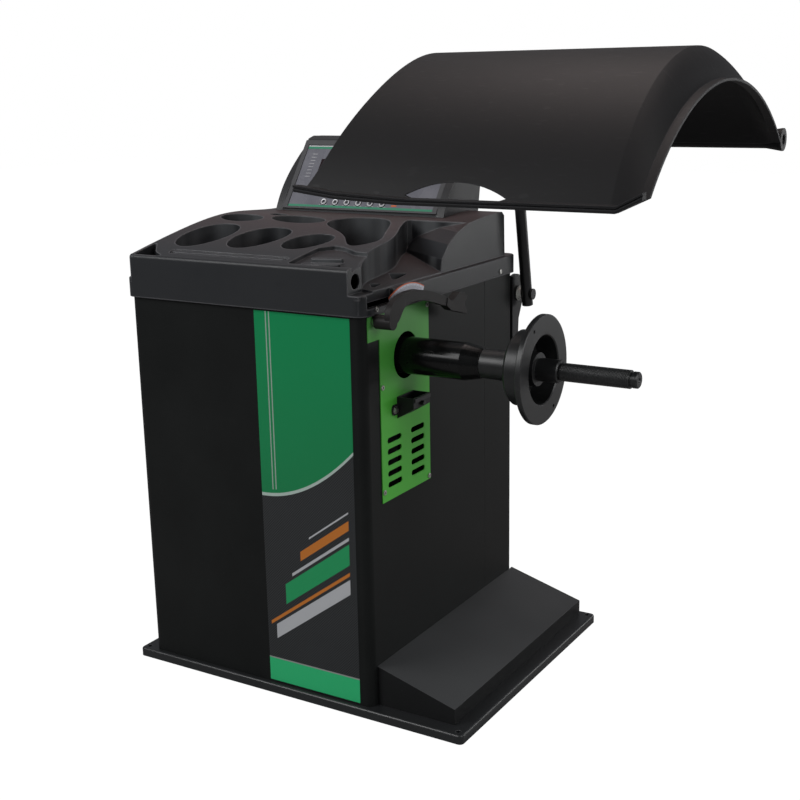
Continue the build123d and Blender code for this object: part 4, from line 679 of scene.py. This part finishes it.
# ---------------------------------------------------------------- instances by Geometry Nodes
def scatter(name, places, turns, solid, material):
    """One mesh with a copy of a solid at each place; the tree is built here and applied.

    places are points, turns are Euler angles and solid is (kind, sizes) of the repeated shape.
    """
    points = bpy.data.meshes.new(name + "_points")
    points.from_pydata(places, [], [])
    spin = points.attributes.new("turn", "FLOAT_VECTOR", "POINT")
    for index, turn in enumerate(turns):
        spin.data[index].vector = turn
    holder = bpy.data.objects.new(name + "_points", points)
    bpy.context.collection.objects.link(holder)
    tree = bpy.data.node_groups.new(name + "_copies", "GeometryNodeTree")
    tree.interface.new_socket("Geometry", in_out="INPUT", socket_type="NodeSocketGeometry")
    size_socket = tree.interface.new_socket("Size", in_out="INPUT", socket_type="NodeSocketVector")
    tree.interface.new_socket("Geometry", in_out="OUTPUT", socket_type="NodeSocketGeometry")
    entry = tree.nodes.new("NodeGroupInput")
    leave = tree.nodes.new("NodeGroupOutput")
    shape = tree.nodes.new("GeometryNodeMeshCube" if solid[0] == "bar" else "GeometryNodeMeshCylinder")
    if solid[0] == "bar":
        tree.links.new(entry.outputs["Size"], shape.inputs["Size"])
    else:
        shape.inputs["Vertices"].default_value = 20
        split = tree.nodes.new("ShaderNodeSeparateXYZ")
        tree.links.new(entry.outputs["Size"], split.inputs[0])
        tree.links.new(split.outputs["X"], shape.inputs["Radius"])
        tree.links.new(split.outputs["Z"], shape.inputs["Depth"])
    turn = tree.nodes.new("GeometryNodeInputNamedAttribute")
    turn.data_type = "FLOAT_VECTOR"
    turn.inputs["Name"].default_value = "turn"
    copies = tree.nodes.new("GeometryNodeInstanceOnPoints")
    real = tree.nodes.new("GeometryNodeRealizeInstances")
    paint = tree.nodes.new("GeometryNodeSetMaterial")
    paint.inputs["Material"].default_value = material
    tree.links.new(entry.outputs["Geometry"], copies.inputs["Points"])
    tree.links.new(shape.outputs["Mesh"], copies.inputs["Instance"])
    tree.links.new(turn.outputs["Attribute"], copies.inputs["Rotation"])
    tree.links.new(copies.outputs["Instances"], real.inputs["Geometry"])
    tree.links.new(real.outputs["Geometry"], paint.inputs["Geometry"])
    tree.links.new(paint.outputs["Geometry"], leave.inputs["Geometry"])
    modifier = holder.modifiers.new("copies", "NODES")
    modifier.node_group = tree
    modifier[size_socket.identifier] = solid[1]
    graph = bpy.context.evaluated_depsgraph_get()
    mesh = bpy.data.meshes.new_from_object(holder.evaluated_get(graph))
    holder.modifiers.clear()
    bpy.data.objects.remove(holder)
    mesh.name = name
    return mesh


SCALE_REACH, SCALE_BAND = 150 * MM, 14 * MM


def scale_skin():
    """The gauge scale: white print with an orange outer border."""
    face = Finish("scale_print", (0.62, 0.62, 0.66), 0.4)
    y, z = face.y - SPINDLE.y, face.z - SPINDLE.z
    reach = (y * y + z * z).power(0.5)
    border = reach.above(SCALE_REACH - 0.0022, 0.0002)
    face.set("Base Color", face.mix(border, (0.66, 0.66, 0.74), (0.66, 0.12, 0.03)))
    face.set("Roughness", 0.35 + face.noise(0.01, 2) * 0.1)
    face.relief(face.noise(0.002, 1), 0.00003, 0.0002)
    return face.material


def scale_ticks():
    """Graduation marks on the scale, every fifth one longer."""
    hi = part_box("gauge_scale")[1]
    inner = SCALE_REACH - SCALE_BAND
    for name, every, length in (("scale_fine_marks", 1, 7.0 * MM), ("scale_long_marks", 5, 10.0 * MM)):
        places, turns = [], []
        for step in range(2, 54, every):
            angle = math.radians(65 + step)
            reach = inner + length / 2 + 0.4 * MM
            places.append((hi.x + 0.02 * MM, SPINDLE.y + reach * math.cos(angle),
                           SPINDLE.z + reach * math.sin(angle)))
            turns.append((angle, 0, 0))
        mesh = scatter(name, places, turns, ("bar", (0.12 * MM, length, 0.45 * MM)), dark_print_and_shade)
        add_piece(name, mesh, "root")


dress(scale_skin(), "gauge_scale")
scale_ticks()


def screw_recess_shade():
    """Crossed driver recesses in the screw heads that show, drawn as flat dark bars: painted shade."""
    groups = (("side_panel_screws", "x", 1), ("tray_screws", "x", 1), ("rear_cover_screws", "y", 1),
              ("guard_screws", "y", 1))
    for node, axis, _ in groups:
        mesh = frame["nodes"][node].data
        heads = islands(mesh)
        places, turns = [], []
        for low, high in heads:
            middle = (low + high) / 2
            for turn in (0, math.pi / 2):
                if axis == "x":
                    outer = high.x if middle.x > 0 else low.x
                    sign = 1 if middle.x > 0 else -1
                    places.append((outer - sign * 0.02 * MM, middle.y, middle.z))
                    turns.append((math.pi / 4 + turn, 0, 0))
                else:
                    places.append((middle.x, high.y - 0.02 * MM, middle.z))
                    turns.append((0, math.pi / 4 + turn, 0))
        size = (0.16 * MM, 6.0 * MM, 1.1 * MM) if axis == "x" else (6.0 * MM, 0.16 * MM, 1.1 * MM)
        body = "guard" if node == "guard_screws" else "root"
        # painted shade: a flat dark bar stands for the shadow inside each recess
        made = scatter(node + "_recess", places, turns, ("bar", size), dark_print_and_shade)
        add_piece(node + "_recess", made, body)


def islands(mesh):
    """Boxes round a mesh's separate lumps, from vertices that share places."""
    bm = bmesh.new()
    bm.from_mesh(mesh)
    bmesh.ops.remove_doubles(bm, verts=bm.verts, dist=0.00002)
    seen, boxes = set(), []
    for start in bm.verts:
        if start in seen:
            continue
        group, queue = [], [start]
        seen.add(start)
        while queue:
            vert = queue.pop()
            group.append(vert.co.copy())
            for edge in vert.link_edges:
                other = edge.other_vert(vert)
                if other not in seen:
                    seen.add(other)
                    queue.append(other)
        low = Vector([min(co[i] for co in group) for i in range(3)])
        high = Vector([max(co[i] for co in group) for i in range(3)])
        boxes.append((low, high))
    bm.free()
    return boxes


screw_recess_shade()


# ---------------------------------------------------------------- floor, world and lamps
def studio():
    """A pale floor, a white surround for the lens and for gloss, and soft boxes."""
    bm = bmesh.new()
    reach = 14.0
    corners = [bm.verts.new((x * reach, y * reach, 0)) for x, y in ((-1, -1), (1, -1), (1, 1), (-1, 1))]
    bm.faces.new(corners)
    mesh = bpy.data.meshes.new("studio_floor")
    bm.to_mesh(mesh)
    bm.free()
    floor = bpy.data.objects.new("studio_floor", mesh)
    bpy.context.collection.objects.link(floor)
    pale = Finish("studio_floor", (0.36, 0.36, 0.36), 0.8, specular=0.1)
    rays = pale.node("Light Path", {}, {}, None)
    seen = Sock(pale, rays.outputs["Is Camera Ray"])
    glow = pale.node("Emission", {}, {"Color": (1, 1, 1, 1), "Strength": 1.12})
    blend = pale.node("Mix Shader", {}, {0: seen * 0.9, 1: Sock(pale, pale.shader.outputs[0]), 2: glow})
    pale.tree.links.new(blend.socket, pale.tree.nodes["Material Output"].inputs["Surface"])
    mesh.materials.append(pale.material)

    world = bpy.data.worlds.new("surround")
    bpy.context.scene.world = world
    world.use_nodes = True
    nodes, links = world.node_tree.nodes, world.node_tree.links
    background = nodes["Background"]
    path = nodes.new("ShaderNodeLightPath")
    white = nodes.new("ShaderNodeMix")
    white.data_type = "RGBA"
    white.inputs[6].default_value = (0.16, 0.165, 0.175, 1)
    white.inputs[7].default_value = (1, 1, 1, 1)
    links.new(path.outputs["Is Camera Ray"], white.inputs[0])
    links.new(white.outputs[2], background.inputs["Color"])

    target = (0.2, 0.0, 0.7)
    soft_box("key_light", (-1.9, -3.0, 3.0), target, 2.2, 2.0, 92)
    soft_box("side_light", (3.2, -0.6, 2.4), (0.2, 0.0, 0.9), 1.6, 2.2, 43)
    soft_box("back_card", (2.7, 3.1, 1.0), (0.2, 0.0, 0.9), 1.8, 1.1, 24)
    soft_box("top_light", (0.3, 0.6, 3.6), target, 2.6, 2.0, 42, (1.0, 0.86, 0.82))


studio()
